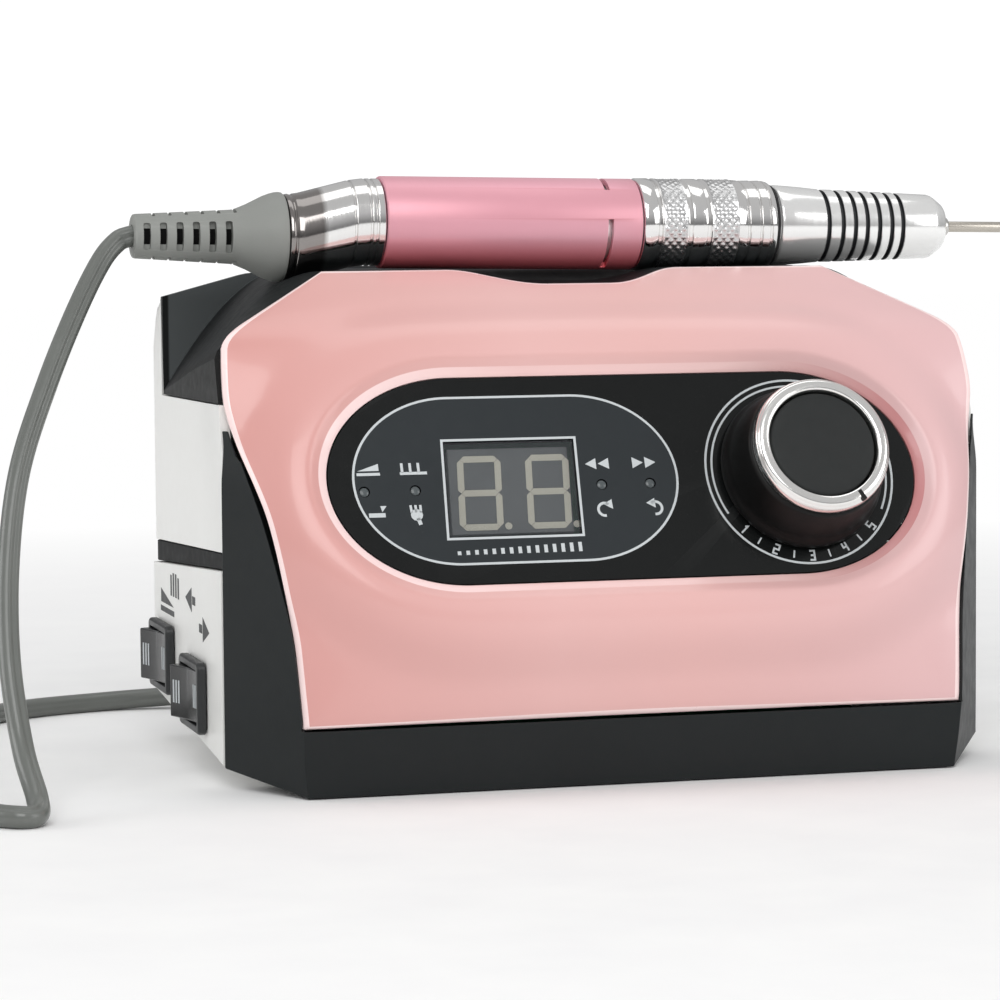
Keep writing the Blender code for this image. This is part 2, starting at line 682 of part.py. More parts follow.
# rocker side view: (along, out) from the pivot
ROCKER = [(-7.6, 5.2), (-4.0, 4.3), (0.0, 3.9), (4.0, 4.3), (7.6, 5.2), (8.0, 1.5),
          (7.6, -2.0), (5.2, -4.6), (-5.2, -4.6), (-7.6, -2.0), (-8.0, 1.5)]
# two on the left wall, tilted front end in, and one on the rear wall
SWITCHES = (
    ("hand_foot", make_frame((-LOWER_HALF_W, 82.0, 19.2), (0, -1, 0), (0, 0, 1), (-1, 0, 0))),
    ("direction", make_frame((-LOWER_HALF_W, 46.0, 15.4), (0, -1, 0), (0, 0, 1), (-1, 0, 0))),
    ("power", make_frame((18.0, Y_BACK, 26.0), (-1, 0, 0), (0, 0, 1), (0, 1, 0))),
)


def rocker_switch(tag, frame, shell):
    length, width, depth = SWITCH_BODY
    cut(shell, prism("switch_hole_" + tag, rounded(length + 0.6, width + 0.6, 0.8, 1),
                     frame, -30.0, 3.0, BLACK))
    housing = prism("switch_housing_" + tag, rounded(length, width, 0.6, 1),
                    frame, -depth, 1.0, BLACK)
    unite(housing, prism("switch_bezel_form_" + tag, rounded(*SWITCH_BEZEL[:2], 1.6, 2),
                         frame, GAP, SWITCH_FACE, BLACK))
    cut(housing, prism("switch_pocket_" + tag, rounded(*SWITCH_POCKET[:2], 0.4, 1),
                       frame, SWITCH_FACE - SWITCH_POCKET[2], 6.0, BLACK))
    pivot = frame_matrix(frame, c=SWITCH_FACE - PIVOT_DEPTH)
    axis = empty("rocker_axis_" + tag, pivot @ Matrix.Rotation(ROCKER_TILT, 4, 'Y'))
    rings = [[Vector((a, w, h)) / 1000.0 for a, h in ROCKER]
             for w in (-ROCKER_HALF_W, ROCKER_HALF_W)]
    loft("rocker_" + tag, rings, GLOSS, smooth_deg=20.0).parent = axis


# ------------------------------------------------------------------ rear sockets
# (tag, x, material, segments, hole radius, profile out of the rear wall)
JACKS = (
    ("handpiece", HP_JACK_X, CHROME, 20, 7.3,
     [(-13.0, 0.0), (-13.0, 6.9), (GAP, 6.9), (GAP, 8.6), (1.8, 8.6), (1.8, 5.0),
      (-9.0, 5.0), (-9.0, 0.0)]),
    ("pedal", PEDAL_JACK_X, BLACK, 16, 5.3,
     [(-13.0, 0.0), (-13.0, 4.9), (GAP, 4.9), (GAP, 6.2), (1.6, 6.2), (1.6, 3.2),
      (-10.0, 3.2), (-10.0, 0.0)]),
)


def build_jacks(shell):
    """Round jacks in the rear wall; returns their axes by tag."""
    axes = {}
    for tag, x, mat, segs, hole_r, profile in JACKS:
        frame = make_frame((x, Y_BACK, SOCKET_Z), (1, 0, 0), (0, 0, -1), (0, 1, 0))
        axis = empty(tag + "_jack_axis", frame_matrix(frame))
        cut(shell, turned("jack_hole_" + tag, collar(-6.0, 3.0, hole_r), BLACK, segs, axis))
        turned(tag + "_jack", profile, mat, segs, axis)
        axes[tag] = axis
    return axes


def build_power_inlet(shell):
    frame = make_frame((INLET_X, Y_BACK, SOCKET_Z), (-1, 0, 0), (0, 0, 1), (0, 1, 0))
    cut(shell, prism("inlet_hole", rounded(25.6, 17.6, 2.0, 2), frame, -8.0, 4.0, BLACK))
    inlet = prism("power_inlet", rounded(25.0, 17.0, 1.8, 2), frame, -16.0, 1.0, BLACK)
    unite(inlet, prism("inlet_flange_form", rounded(29.0, 21.0, 2.4, 2), frame, GAP, 1.8, BLACK))
    cut(inlet, prism("inlet_mouth", rounded(19.0, 10.6, 3.0, 2), frame, -12.0, 4.0, BLACK))


# ------------------------------------------------------------------ inside the case
BOARD_TOP = 10.6
PART_Z = BOARD_TOP + GAP            # parts standing on the board
SINK_LEFT, SINK_RIGHT = -50.0, -28.0
SINK_ROOT = -46.0                   # bottom of the slots between fins
SINK_FRONT = 34.0
FIN_T = 3.0                         # a fin, and also a slot
FIN_SLOTS = 4


def build_heat_sink():
    """Comb in plan: a back plate on the left with fins to the right."""
    y = SINK_FRONT + FIN_T
    outline = [(SINK_LEFT, SINK_FRONT), (SINK_RIGHT, SINK_FRONT), (SINK_RIGHT, y)]
    for _ in range(FIN_SLOTS):
        outline += [(SINK_ROOT, y), (SINK_ROOT, y + FIN_T), (SINK_RIGHT, y + FIN_T),
                    (SINK_RIGHT, y + 2 * FIN_T)]
        y += 2 * FIN_T
    outline.append((SINK_LEFT, y))
    upright("heat_sink", outline, PART_Z, 32.0, ALUMINIUM)


def build_internals():
    box("power_board", (-54.0, 26.0, 9.0), (56.0, 80.0, BOARD_TOP), BOARD)
    core = box("transformer_core", (20.0, 32.0, 11.0), (54.0, 62.0, 39.0), STEEL)
    cut(core, box("winding_slot", (26.0, 28.0, 17.0), (48.0, 66.0, 33.0), BLACK))
    box("transformer_coil", (26.5, 29.0, 17.5), (47.5, 65.0, 32.5), COPPER, chamfer=2.0)
    axis = empty("capacitor_axis", Matrix.Translation(world((-12.0, 66.0, PART_Z))))
    turned("filter_capacitor", [(0.0, 0.0), (0.0, 8.0), (25.0, 8.0), (26.0, 7.0), (26.0, 0.0)],
           BLACK, 16, axis)
    build_heat_sink()


# ------------------------------------------------------------------ handpiece
# Profiles are (position along the axis towards the nose, radius).
def groove(centre, r_before, r_after):
    """Shallow turned groove, 0.4 deep from the radius before it."""
    floor = r_before - 0.4
    return [(centre - 0.35, r_before), (centre - 0.2, floor),
            (centre + 0.2, floor), (centre + 0.35, r_after)]


def tail_profile():
    profile = [(-60.1, 4.0), (-60.1, 7.7), (-58.6, 8.3), (-56.2, 9.0), (-54.5, 9.25)]
    for centre in (-46.1, -42.7, -41.4):
        profile += groove(centre, 9.25, 9.25)
    return profile + [(-39.7, 9.25), (-39.7, 8.0), (-57.0, 7.4), (-57.0, 4.0)]


def nose_profile():
    """Tapering nose with seven deep grooves."""
    profile = [(9.0, 7.3), (9.0, 8.15), (48.6, 8.15), (49.0, 8.75), (58.6, 8.05)]
    for k, start in enumerate((59.2, 62.5, 65.4, 68.2, 71.1, 74.0, 76.6)):
        r = 8.0 - 0.1 * k
        profile += [(start, r), (start + 0.15, r - 1.0), (start + 1.15, r - 1.0),
                    (start + 1.3, r - 0.08)]
    return profile + [(85.6, 6.9), (88.0, 5.2), (88.4, 4.6), (88.4, 3.5), (86.2, 3.5),
                      (86.2, 5.85), (52.0, 5.85), (50.0, 7.3)]


def sleeve_profile():
    """Twist sleeve that locks and opens the chuck."""
    profile = [(17.1, 8.5), (17.1, 9.7), (17.4, 9.95), (20.2, 9.95), (20.5, 9.4), (21.1, 9.4),
               (21.3, 9.95), (27.0, 9.95), (27.2, 9.5), (28.0, 9.5), (28.2, 9.9), (31.2, 9.9),
               (31.4, 9.5), (32.1, 9.5), (32.3, 9.95), (38.6, 9.95)]
    for centre in (40.9, 43.7, 46.0):
        profile += groove(centre, 9.7, 9.65)
    return profile + [(47.3, 9.4), (47.5, 9.2), (47.5, 8.5)]


BARREL = [(-39.4, 8.6), (-39.4, 9.6), (-39.1, BARREL_R), (16.4, BARREL_R), (16.8, 9.5),
          (16.8, 8.6)]
RELIEF = [(-92.2, 2.5), (-92.2, 4.6), (-71.4, 5.7), (-62.2, 9.0), (-61.9, 9.1), (-60.4, 9.1),
          (-60.4, 4.0), (-63.0, 4.0), (-64.0, 2.5)]
# (name, material, segments, profile)
HANDPIECE_PARTS = (
    ("tail_collar", CHROME, HP_SEGS, tail_profile()),
    ("motor_can", STEEL, 24,
     [(-35.6, 7.4), (-35.6, 8.25), (5.6, 8.25), (5.6, 1.5), (4.6, 1.5), (4.6, 7.4)]),
    ("motor_end_cap", BLACK, 20, collar(-38.4, -36.0, 8.0, 2.0)),
    ("nose_housing", CHROME, HP_SEGS, nose_profile()),
    ("rear_bearing", STEEL, 20, collar(20.0, 24.0, 7.0, 3.35)),
    ("front_bearing", STEEL, 20, collar(81.0, 85.5, 5.5, 3.35)),
    ("twist_sleeve", CHROME, HP_SEGS, sleeve_profile()),
    ("sleeve_seal", RUBBER, HP_SEGS, collar(47.8, 48.3, 8.8, 8.45)),
    ("motor_rotor", COPPER, 16,
     [(-35.2, 0.0), (-35.2, 1.1), (-32.0, 1.1), (-32.0, 3.4), (-27.0, 3.4), (-27.0, 6.6),
      (0.5, 6.6), (0.5, 1.1), (12.0, 1.1), (12.0, 0.0)]),
    ("drive_coupling", BRASS, 16,
     [(12.4, 0.0), (12.4, 1.35), (6.4, 1.35), (6.4, 4.0), (18.0, 4.0), (18.0, 3.35),
      (13.2, 3.35), (13.2, 0.0)]),
    ("spindle", STEEL, 16,
     [(13.6, 0.0), (13.6, 3.0), (88.1, 3.0), (88.1, 2.4), (68.0, 2.4), (68.0, 0.0)]),
    ("collet", STEEL, 16, [(69.6, 1.32), (69.6, 2.05), (89.8, 2.05), (90.3, 1.75), (90.3, 1.32)]),
    ("bit_shank", STEEL, 16,
     [(72.0, 0.0), (72.0, 1.0), (72.3, SHANK_R), (107.9, SHANK_R), (108.2, 0.9), (108.2, 0.0)]),
)

# cooling slots round the barrel near its nose end
VENTS = 3
VENT_X = (8.9, 10.1)
VENT_START, VENT_ARC = -72.0, math.radians(78.0)
VENT_R = (11.0, 7.8)        # cutter's outer and inner radius
# slots in the front and rear faces of the strain relief
SLOTS = 6
SLOT_X, SLOT_PITCH = -89.7, 3.44
SLOT_HALF_W, SLOT_HALF_H = 0.7, 2.6
SLOT_INNER, SLOT_OUTER = 3.4, 9.0
# collet spring
SPRING_TURNS = 3.5
SPRING_R = 4.6
WIRE_R = 0.45
SPRING_X = (56.0, 69.0)


def build_barrel(axis):
    barrel = turned("barrel", BARREL, ANODISED, 24, axis, 'X')
    outer, inner = VENT_R
    for k in range(VENTS):
        start = math.radians(VENT_START + 360.0 / VENTS * k)
        angles = [start + VENT_ARC * m / 5 for m in range(6)]
        arc = [(outer, a) for a in angles] + [(inner, a) for a in reversed(angles)]
        rings = [[Vector((x, -r * math.cos(a), r * math.sin(a))) / 1000.0 for r, a in arc]
                 for x in VENT_X]
        vent = loft("vent_%d" % (k + 1), rings, BLACK)
        vent.parent = axis
        cut(barrel, vent)


def build_strain_relief(axis):
    relief = turned("strain_relief", RELIEF, GREY_RUBBER, 16, axis, 'X')
    for k in range(SLOTS):
        x = SLOT_X + SLOT_PITCH * k
        x0, x1 = x - SLOT_HALF_W, x + SLOT_HALF_W
        for side, y0, y1 in (("f", -SLOT_OUTER, -SLOT_INNER), ("r", SLOT_INNER, SLOT_OUTER)):
            corners = [(x0, y0), (x1, y0), (x1, y1), (x0, y1)]
            rings = [[Vector((cx, cy, z)) / 1000.0 for cx, cy in corners]
                     for z in (-SLOT_HALF_H, SLOT_HALF_H)]
            slot = loft("relief_slot_%d_%s" % (k + 1, side), rings, BLACK)
            slot.parent = axis
            cut(relief, slot)


def build_collet_spring(axis):
    """Compression spring that closes the collet, coiled round the spindle."""
    rings = []
    steps = int(SPRING_TURNS * 12)
    rise = (SPRING_X[1] - SPRING_X[0]) / (2 * math.pi * SPRING_TURNS)
    for i in range(steps + 1):
        t = i / steps
        a = 2 * math.pi * SPRING_TURNS * t
        y, z = SPRING_R * math.cos(a), SPRING_R * math.sin(a)
        centre = Vector((mix(*SPRING_X, t), y, z))
        radial = Vector((0.0, math.cos(a), math.sin(a)))
        tangent = Vector((rise, -z, y)).normalized()
        ring = circle_at(centre, radial, tangent.cross(radial), WIRE_R, 5)
        rings.append([p / 1000.0 for p in ring])
    loft("collet_spring", rings, STEEL).parent = axis


def build_handpiece():
    place = Matrix.Translation(world((0.0, HP_Y, HP_Z)))
    axis = empty("handpiece_axis", place @ Matrix.Rotation(HP_PITCH, 4, 'Y'))
    build_barrel(axis)
    build_strain_relief(axis)
    for name, mat, segs, profile in HANDPIECE_PARTS:
        turned(name, profile, mat, segs, axis, 'X')
    build_collet_spring(axis)


# ------------------------------------------------------------------ cable
REST_Z = CABLE_R - MAT_PROUD + 0.12     # centre of the cable where it lies on the table
# from the strain relief, down the left side and round behind to the plug boot
CABLE = [
    (-92.7, HP_Y, hp_axis_z(-92.5)), (-97.5, 56.2, 109.6), (-105.5, 52.0, 104.6),
    (-112.5, 45.5, 95.0), (-118.5, 37.5, 81.0), (-122.0, 29.0, 64.0), (-123.8, 20.5, 46.0),
    (-123.8, 11.0, 28.0), (-122.5, 2.0, 12.0), (-122.0, -8.0, 3.6), (-123.5, -14.5, REST_Z),
    (-128.5, -15.5, REST_Z), (-133.5, -8.0, REST_Z), (-136.5, 10.0, REST_Z),
    (-137.0, 40.0, REST_Z), (-134.0, 75.0, REST_Z), (-126.0, 108.0, REST_Z),
    (-110.0, 133.0, REST_Z), (-86.0, 144.0, REST_Z), (-64.0, 142.0, CABLE_R + 0.2),
    (-52.5, 132.5, 3.6), (-47.2, 124.0, 6.6), (HP_JACK_X, 119.6, 11.6), (HP_JACK_X, 118.7, 17.0),
]
PLUG = [(-8.6, 0.0), (-8.6, 4.6), (2.2, 4.6), (2.2, 7.6), (9.0, 7.6), (10.0, 6.4), (10.0, 0.0)]
# boot stations: (distance behind the rear wall, drop below the jack, radius)
BOOT = ((10.7, 0.0, 5.6), (13.0, 0.2, 5.2), (15.6, 1.8, 4.6), (17.3, 4.6, 3.9), (18.0, 9.0, 3.1))


def catmull(points, steps):
    """Catmull-Rom curve through the points, with a number of steps per span."""
    curve = []
    p = [Vector(q) for q in points]
    p = [p[0] * 2 - p[1]] + p + [p[-1] * 2 - p[-2]]
    for a, b, c, d in zip(p, p[1:], p[2:], p[3:]):
        for k in range(steps):
            t = k / steps
            curve.append(0.5 * ((2 * b) + (c - a) * t + (2 * a - 5 * b + 4 * c - d) * t * t
                                + (3 * b - 3 * c + d - a) * t ** 3))
    curve.append(p[-2])
    return curve


def build_cable():
    path = catmull(CABLE, 2)
    side = (path[1] - path[0]).cross(Vector((0.0, 0.0, 1.0)))
    sweep("handpiece_cable", path, [CABLE_R] * len(path), 8, side, CABLE_GREY, smooth_deg=60.0)


def build_plug(jack_axis):
    """Straight body in the jack, with a boot that turns the cable down."""
    turned("cable_plug", PLUG, CHROME, 20, jack_axis)
    path = [Vector((HP_JACK_X, Y_BACK + behind, SOCKET_Z - drop)) for behind, drop, _ in BOOT]
    sweep("plug_boot", path, [r for _, _, r in BOOT], 16, Vector((1.0, 0.0, 0.0)), GREY_RUBBER)


# ------------------------------------------------------------------ assembly
build_front_panel()
build_front_bezel()
lower_case = build_lower_case()
build_stripe_band()
build_upper_case()
build_cradle_cover()
build_base()
build_knob(build_control_panel())
for switch_tag, switch_frame in SWITCHES:
    rocker_switch(switch_tag, switch_frame, lower_case)
jack_axes = build_jacks(lower_case)
build_power_inlet(lower_case)
build_internals()
build_handpiece()
build_cable()
build_plug(jack_axes["handpiece"])
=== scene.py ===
# Looks of the electric nail drill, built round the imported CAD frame.
import bpy
import bmesh
import math
from mathutils import Vector, Matrix

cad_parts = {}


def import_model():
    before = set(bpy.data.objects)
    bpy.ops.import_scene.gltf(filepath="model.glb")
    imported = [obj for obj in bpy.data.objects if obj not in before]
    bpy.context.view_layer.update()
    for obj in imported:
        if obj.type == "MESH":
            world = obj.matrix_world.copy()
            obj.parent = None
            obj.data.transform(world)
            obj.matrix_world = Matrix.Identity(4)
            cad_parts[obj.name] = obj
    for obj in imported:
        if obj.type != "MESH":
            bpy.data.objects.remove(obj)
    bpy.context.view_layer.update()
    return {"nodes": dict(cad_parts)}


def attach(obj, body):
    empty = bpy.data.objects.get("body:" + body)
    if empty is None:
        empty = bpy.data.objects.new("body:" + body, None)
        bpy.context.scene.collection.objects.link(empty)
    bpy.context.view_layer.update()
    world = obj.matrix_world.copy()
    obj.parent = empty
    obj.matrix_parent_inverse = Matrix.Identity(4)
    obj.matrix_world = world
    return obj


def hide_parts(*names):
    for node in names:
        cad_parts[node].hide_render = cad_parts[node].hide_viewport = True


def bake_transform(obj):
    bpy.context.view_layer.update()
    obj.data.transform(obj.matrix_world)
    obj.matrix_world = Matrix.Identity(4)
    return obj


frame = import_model()
NODES = frame["nodes"]
scene = bpy.context.scene

# ------------------------------------------------------------------ shared dimensions (mm, case frame)
CASE_Y_CENTRE, MAT_PROUD = 50.0, 0.8
HALF_W, Y_JOIN, Y_BACK, Y_WALL = 81.1, 19.1, 100.5, 84.2
PANEL_T, SHELL_T, GAP = 2.4, 2.0, 0.3
PANEL_ROWS = [
    ((69.6, -1.3, 13.3), (-1.3, 13.3)),
    ((69.9, -0.8, 18.0), (-2.7, 18.0)),
    ((70.3, 0.2, 24.0), (-3.9, 24.2)),
    ((70.7, 1.2, 30.0), (-4.7, 30.4)),
    ((71.6, 2.8, 36.0), (-4.9, 36.4)),
    ((72.7, 4.6, 42.0), (-4.35, 42.0)),
    ((73.9, 6.6, 48.0), (-1.58, 48.0)),
    ((75.1, 9.1, 54.0), (1.19, 54.0)),
    ((76.7, 11.8, 60.0), (3.97, 60.0)),
    ((78.3, 15.1, 66.0), (6.74, 66.0)),
    ((79.8, 17.9, 72.0), (9.51, 72.0)),
    ((80.9, 19.6, 77.5), (12.05, 77.5)),
    ((80.6, 22.5, 84.5), (15.6, 84.5)),
    ((79.8, 25.9, 90.6), (21.0, 91.2)),
    ((67.4, 34.2, 97.0), (30.5, 98.0)),
    ((55.0, 42.6, 103.4), (42.6, 103.4)),
]
LAST = len(PANEL_ROWS) - 1
DIP_X = (-28.6, -7.4, 5.2, 22.2)
TILT = math.radians(24.8)
PC = Vector((0.0, 7.0, 61.3))
PA = Vector((1.0, 0.0, 0.0))
PB = Vector((0.0, math.sin(TILT), math.cos(TILT)))
PN = Vector((0.0, -math.cos(TILT), math.sin(TILT)))
PILL_HALF_L, PILL_HALF_H, PILL_END = 62.5, 22.35, 27.5
RIM_RISE, RIM_FLARE = 2.2, 3.8
KNOB_A, KNOB_R = 37.2, 18.0
WINDOW = ((-38.6, -12.1), (-11.1, -12.1), (-10.4, 8.3), (-37.6, 8.3))
LEDS = (("led_foot", -55.0, -1.9), ("led_hand", -44.5, -1.9),
        ("led_reverse", -5.5, -1.7), ("led_forward", 4.8, -1.7))
HP_Y, HP_Z, HP_PITCH, BARREL_R, SHANK_R = 57.0, 112.4, math.radians(0.9), 9.8, 1.175
SW_BEZEL, SW_BODY, SW_POCKET = (21.4, 15.0, 1.8), (19.2, 12.8, 18.0), (18.0, 11.6, 8.2)
ROCKER_TILT = math.radians(12.0)
CABLE_R = 2.2


def world(p):
    return Vector((p[0] / 1000.0, (p[1] - CASE_Y_CENTRE) / 1000.0, (p[2] + MAT_PROUD) / 1000.0))


# ------------------------------------------------------------------ materials
def srgb(r, g, b):
    """Linear colour from 0-255 display values."""
    return tuple((v / 255.0 / 12.92) if v / 255.0 <= 0.04045 else ((v / 255.0 + 0.055) / 1.055) ** 2.4 for v in (r, g, b))


def noise(nt, src, scale, detail=3.0, rough=0.55):
    n = nt.nodes.new('ShaderNodeTexNoise')
    n.inputs['Scale'].default_value = scale
    n.inputs['Detail'].default_value = detail
    n.inputs['Roughness'].default_value = rough
    nt.links.new(src, n.inputs['Vector'])
    return n.outputs['Fac']


def ranged(nt, src, a, b, lo, hi):
    n = nt.nodes.new('ShaderNodeMapRange')
    n.clamp = True
    for k, v in (('From Min', a), ('From Max', b), ('To Min', lo), ('To Max', hi)):
        n.inputs[k].default_value = v
    nt.links.new(src, n.inputs['Value'])
    return n.outputs['Result']


def mixed(nt, fac, a, b):
    n = nt.nodes.new('ShaderNodeMix')
    n.data_type = 'RGBA'
    for key, v in (('A', a), ('B', b)):
        sock = [s for s in n.inputs if s.name == key and s.type == 'RGBA'][0]
        if isinstance(v, tuple):
            sock.default_value = (v[0], v[1], v[2], 1.0)
        else:
            nt.links.new(v, sock)
    f = [s for s in n.inputs if s.name == 'Factor' and s.type == 'VALUE'][0]
    if isinstance(fac, float):
        f.default_value = fac
    else:
        nt.links.new(fac, f)
    return [s for s in n.outputs if s.type == 'RGBA'][0]


def pbr(name, rgb, rough, metal=0.0, coat=0.0, var=0.05, var_scale=22.0, rough_var=0.05, rough_scale=320.0,
        grain=0.10, grain_scale=2200.0, wear=0.18, wear_rgb=None, spec=0.5, streak=None, ior=1.5, dust=0.0, shade=None):
    """Procedural surface: slow colour drift, fine grain in bump, uneven gloss, slightly worn edges and optional painted
    light and shade along one axis.
    """
    m = bpy.data.materials.new(name)
    m.use_nodes = True
    nt = m.node_tree
    b = nt.nodes['Principled BSDF']
    tc = nt.nodes.new('ShaderNodeTexCoord')
    src = tc.outputs['Object']
    fine = src
    if streak is not None:
        mp = nt.nodes.new('ShaderNodeMapping')
        mp.inputs['Scale'].default_value = streak
        nt.links.new(src, mp.inputs['Vector'])
        fine = mp.outputs['Vector']
    drift = noise(nt, src, var_scale, 4.0)
    lo = tuple(max(0.0, c * (1 - var)) for c in rgb)
    hi = tuple(min(1.0, c * (1 + var)) for c in rgb)
    col = mixed(nt, ranged(nt, drift, 0.3, 0.7, 0.0, 1.0), lo, hi)
    if dust > 0:
        d = noise(nt, src, 900.0, 5.0, 0.7)
        col = mixed(nt, ranged(nt, d, 0.62, 0.8, 0.0, dust), col, (0.5, 0.5, 0.48))
    geo = nt.nodes.new('ShaderNodeNewGeometry')
    edge = ranged(nt, geo.outputs['Pointiness'], 0.515, 0.60, 0.0, wear)
    wr = wear_rgb if wear_rgb is not None else tuple(min(1.0, c * 1.35 + 0.03) for c in rgb)
    col = mixed(nt, edge, col, wr)
    for axis, at0, at1, tone in (shade or ()):
        # painted light and shade: slow tone change along one axis of the piece: (axis, from, to, colour)
        sx = nt.nodes.new('ShaderNodeSeparateXYZ')
        nt.links.new(src, sx.inputs['Vector'])
        f = ranged(nt, sx.outputs[axis], at0, at1, 0.0, 1.0)
        col = mixed(nt, f, col, tone)
    nt.links.new(col, b.inputs['Base Color'])
    rn = noise(nt, fine if streak is not None else src, 1.0 if streak is not None else rough_scale, 4.0, 0.6)
    nt.links.new(ranged(nt, rn, 0.3, 0.7, max(0.02, rough - rough_var), min(1.0, rough + rough_var)), b.inputs['Roughness'])
    bn = noise(nt, fine, 1.0 if streak is not None else grain_scale, 2.0)
    bump = nt.nodes.new('ShaderNodeBump')
    bump.inputs['Strength'].default_value = grain
    bump.inputs['Distance'].default_value = 0.00006
    nt.links.new(bn, bump.inputs['Height'])
    nt.links.new(bump.outputs['Normal'], b.inputs['Normal'])
    b.inputs['Metallic'].default_value = metal
    b.inputs['Specular IOR Level'].default_value = spec
    b.inputs['IOR'].default_value = ior
    if coat > 0:
        b.inputs['Coat Weight'].default_value = coat
        b.inputs['Coat Roughness'].default_value = 0.04
        if 'Coat Normal' in b.inputs:
            pass
    m.diffuse_color = (rgb[0], rgb[1], rgb[2], 1.0)
    return m


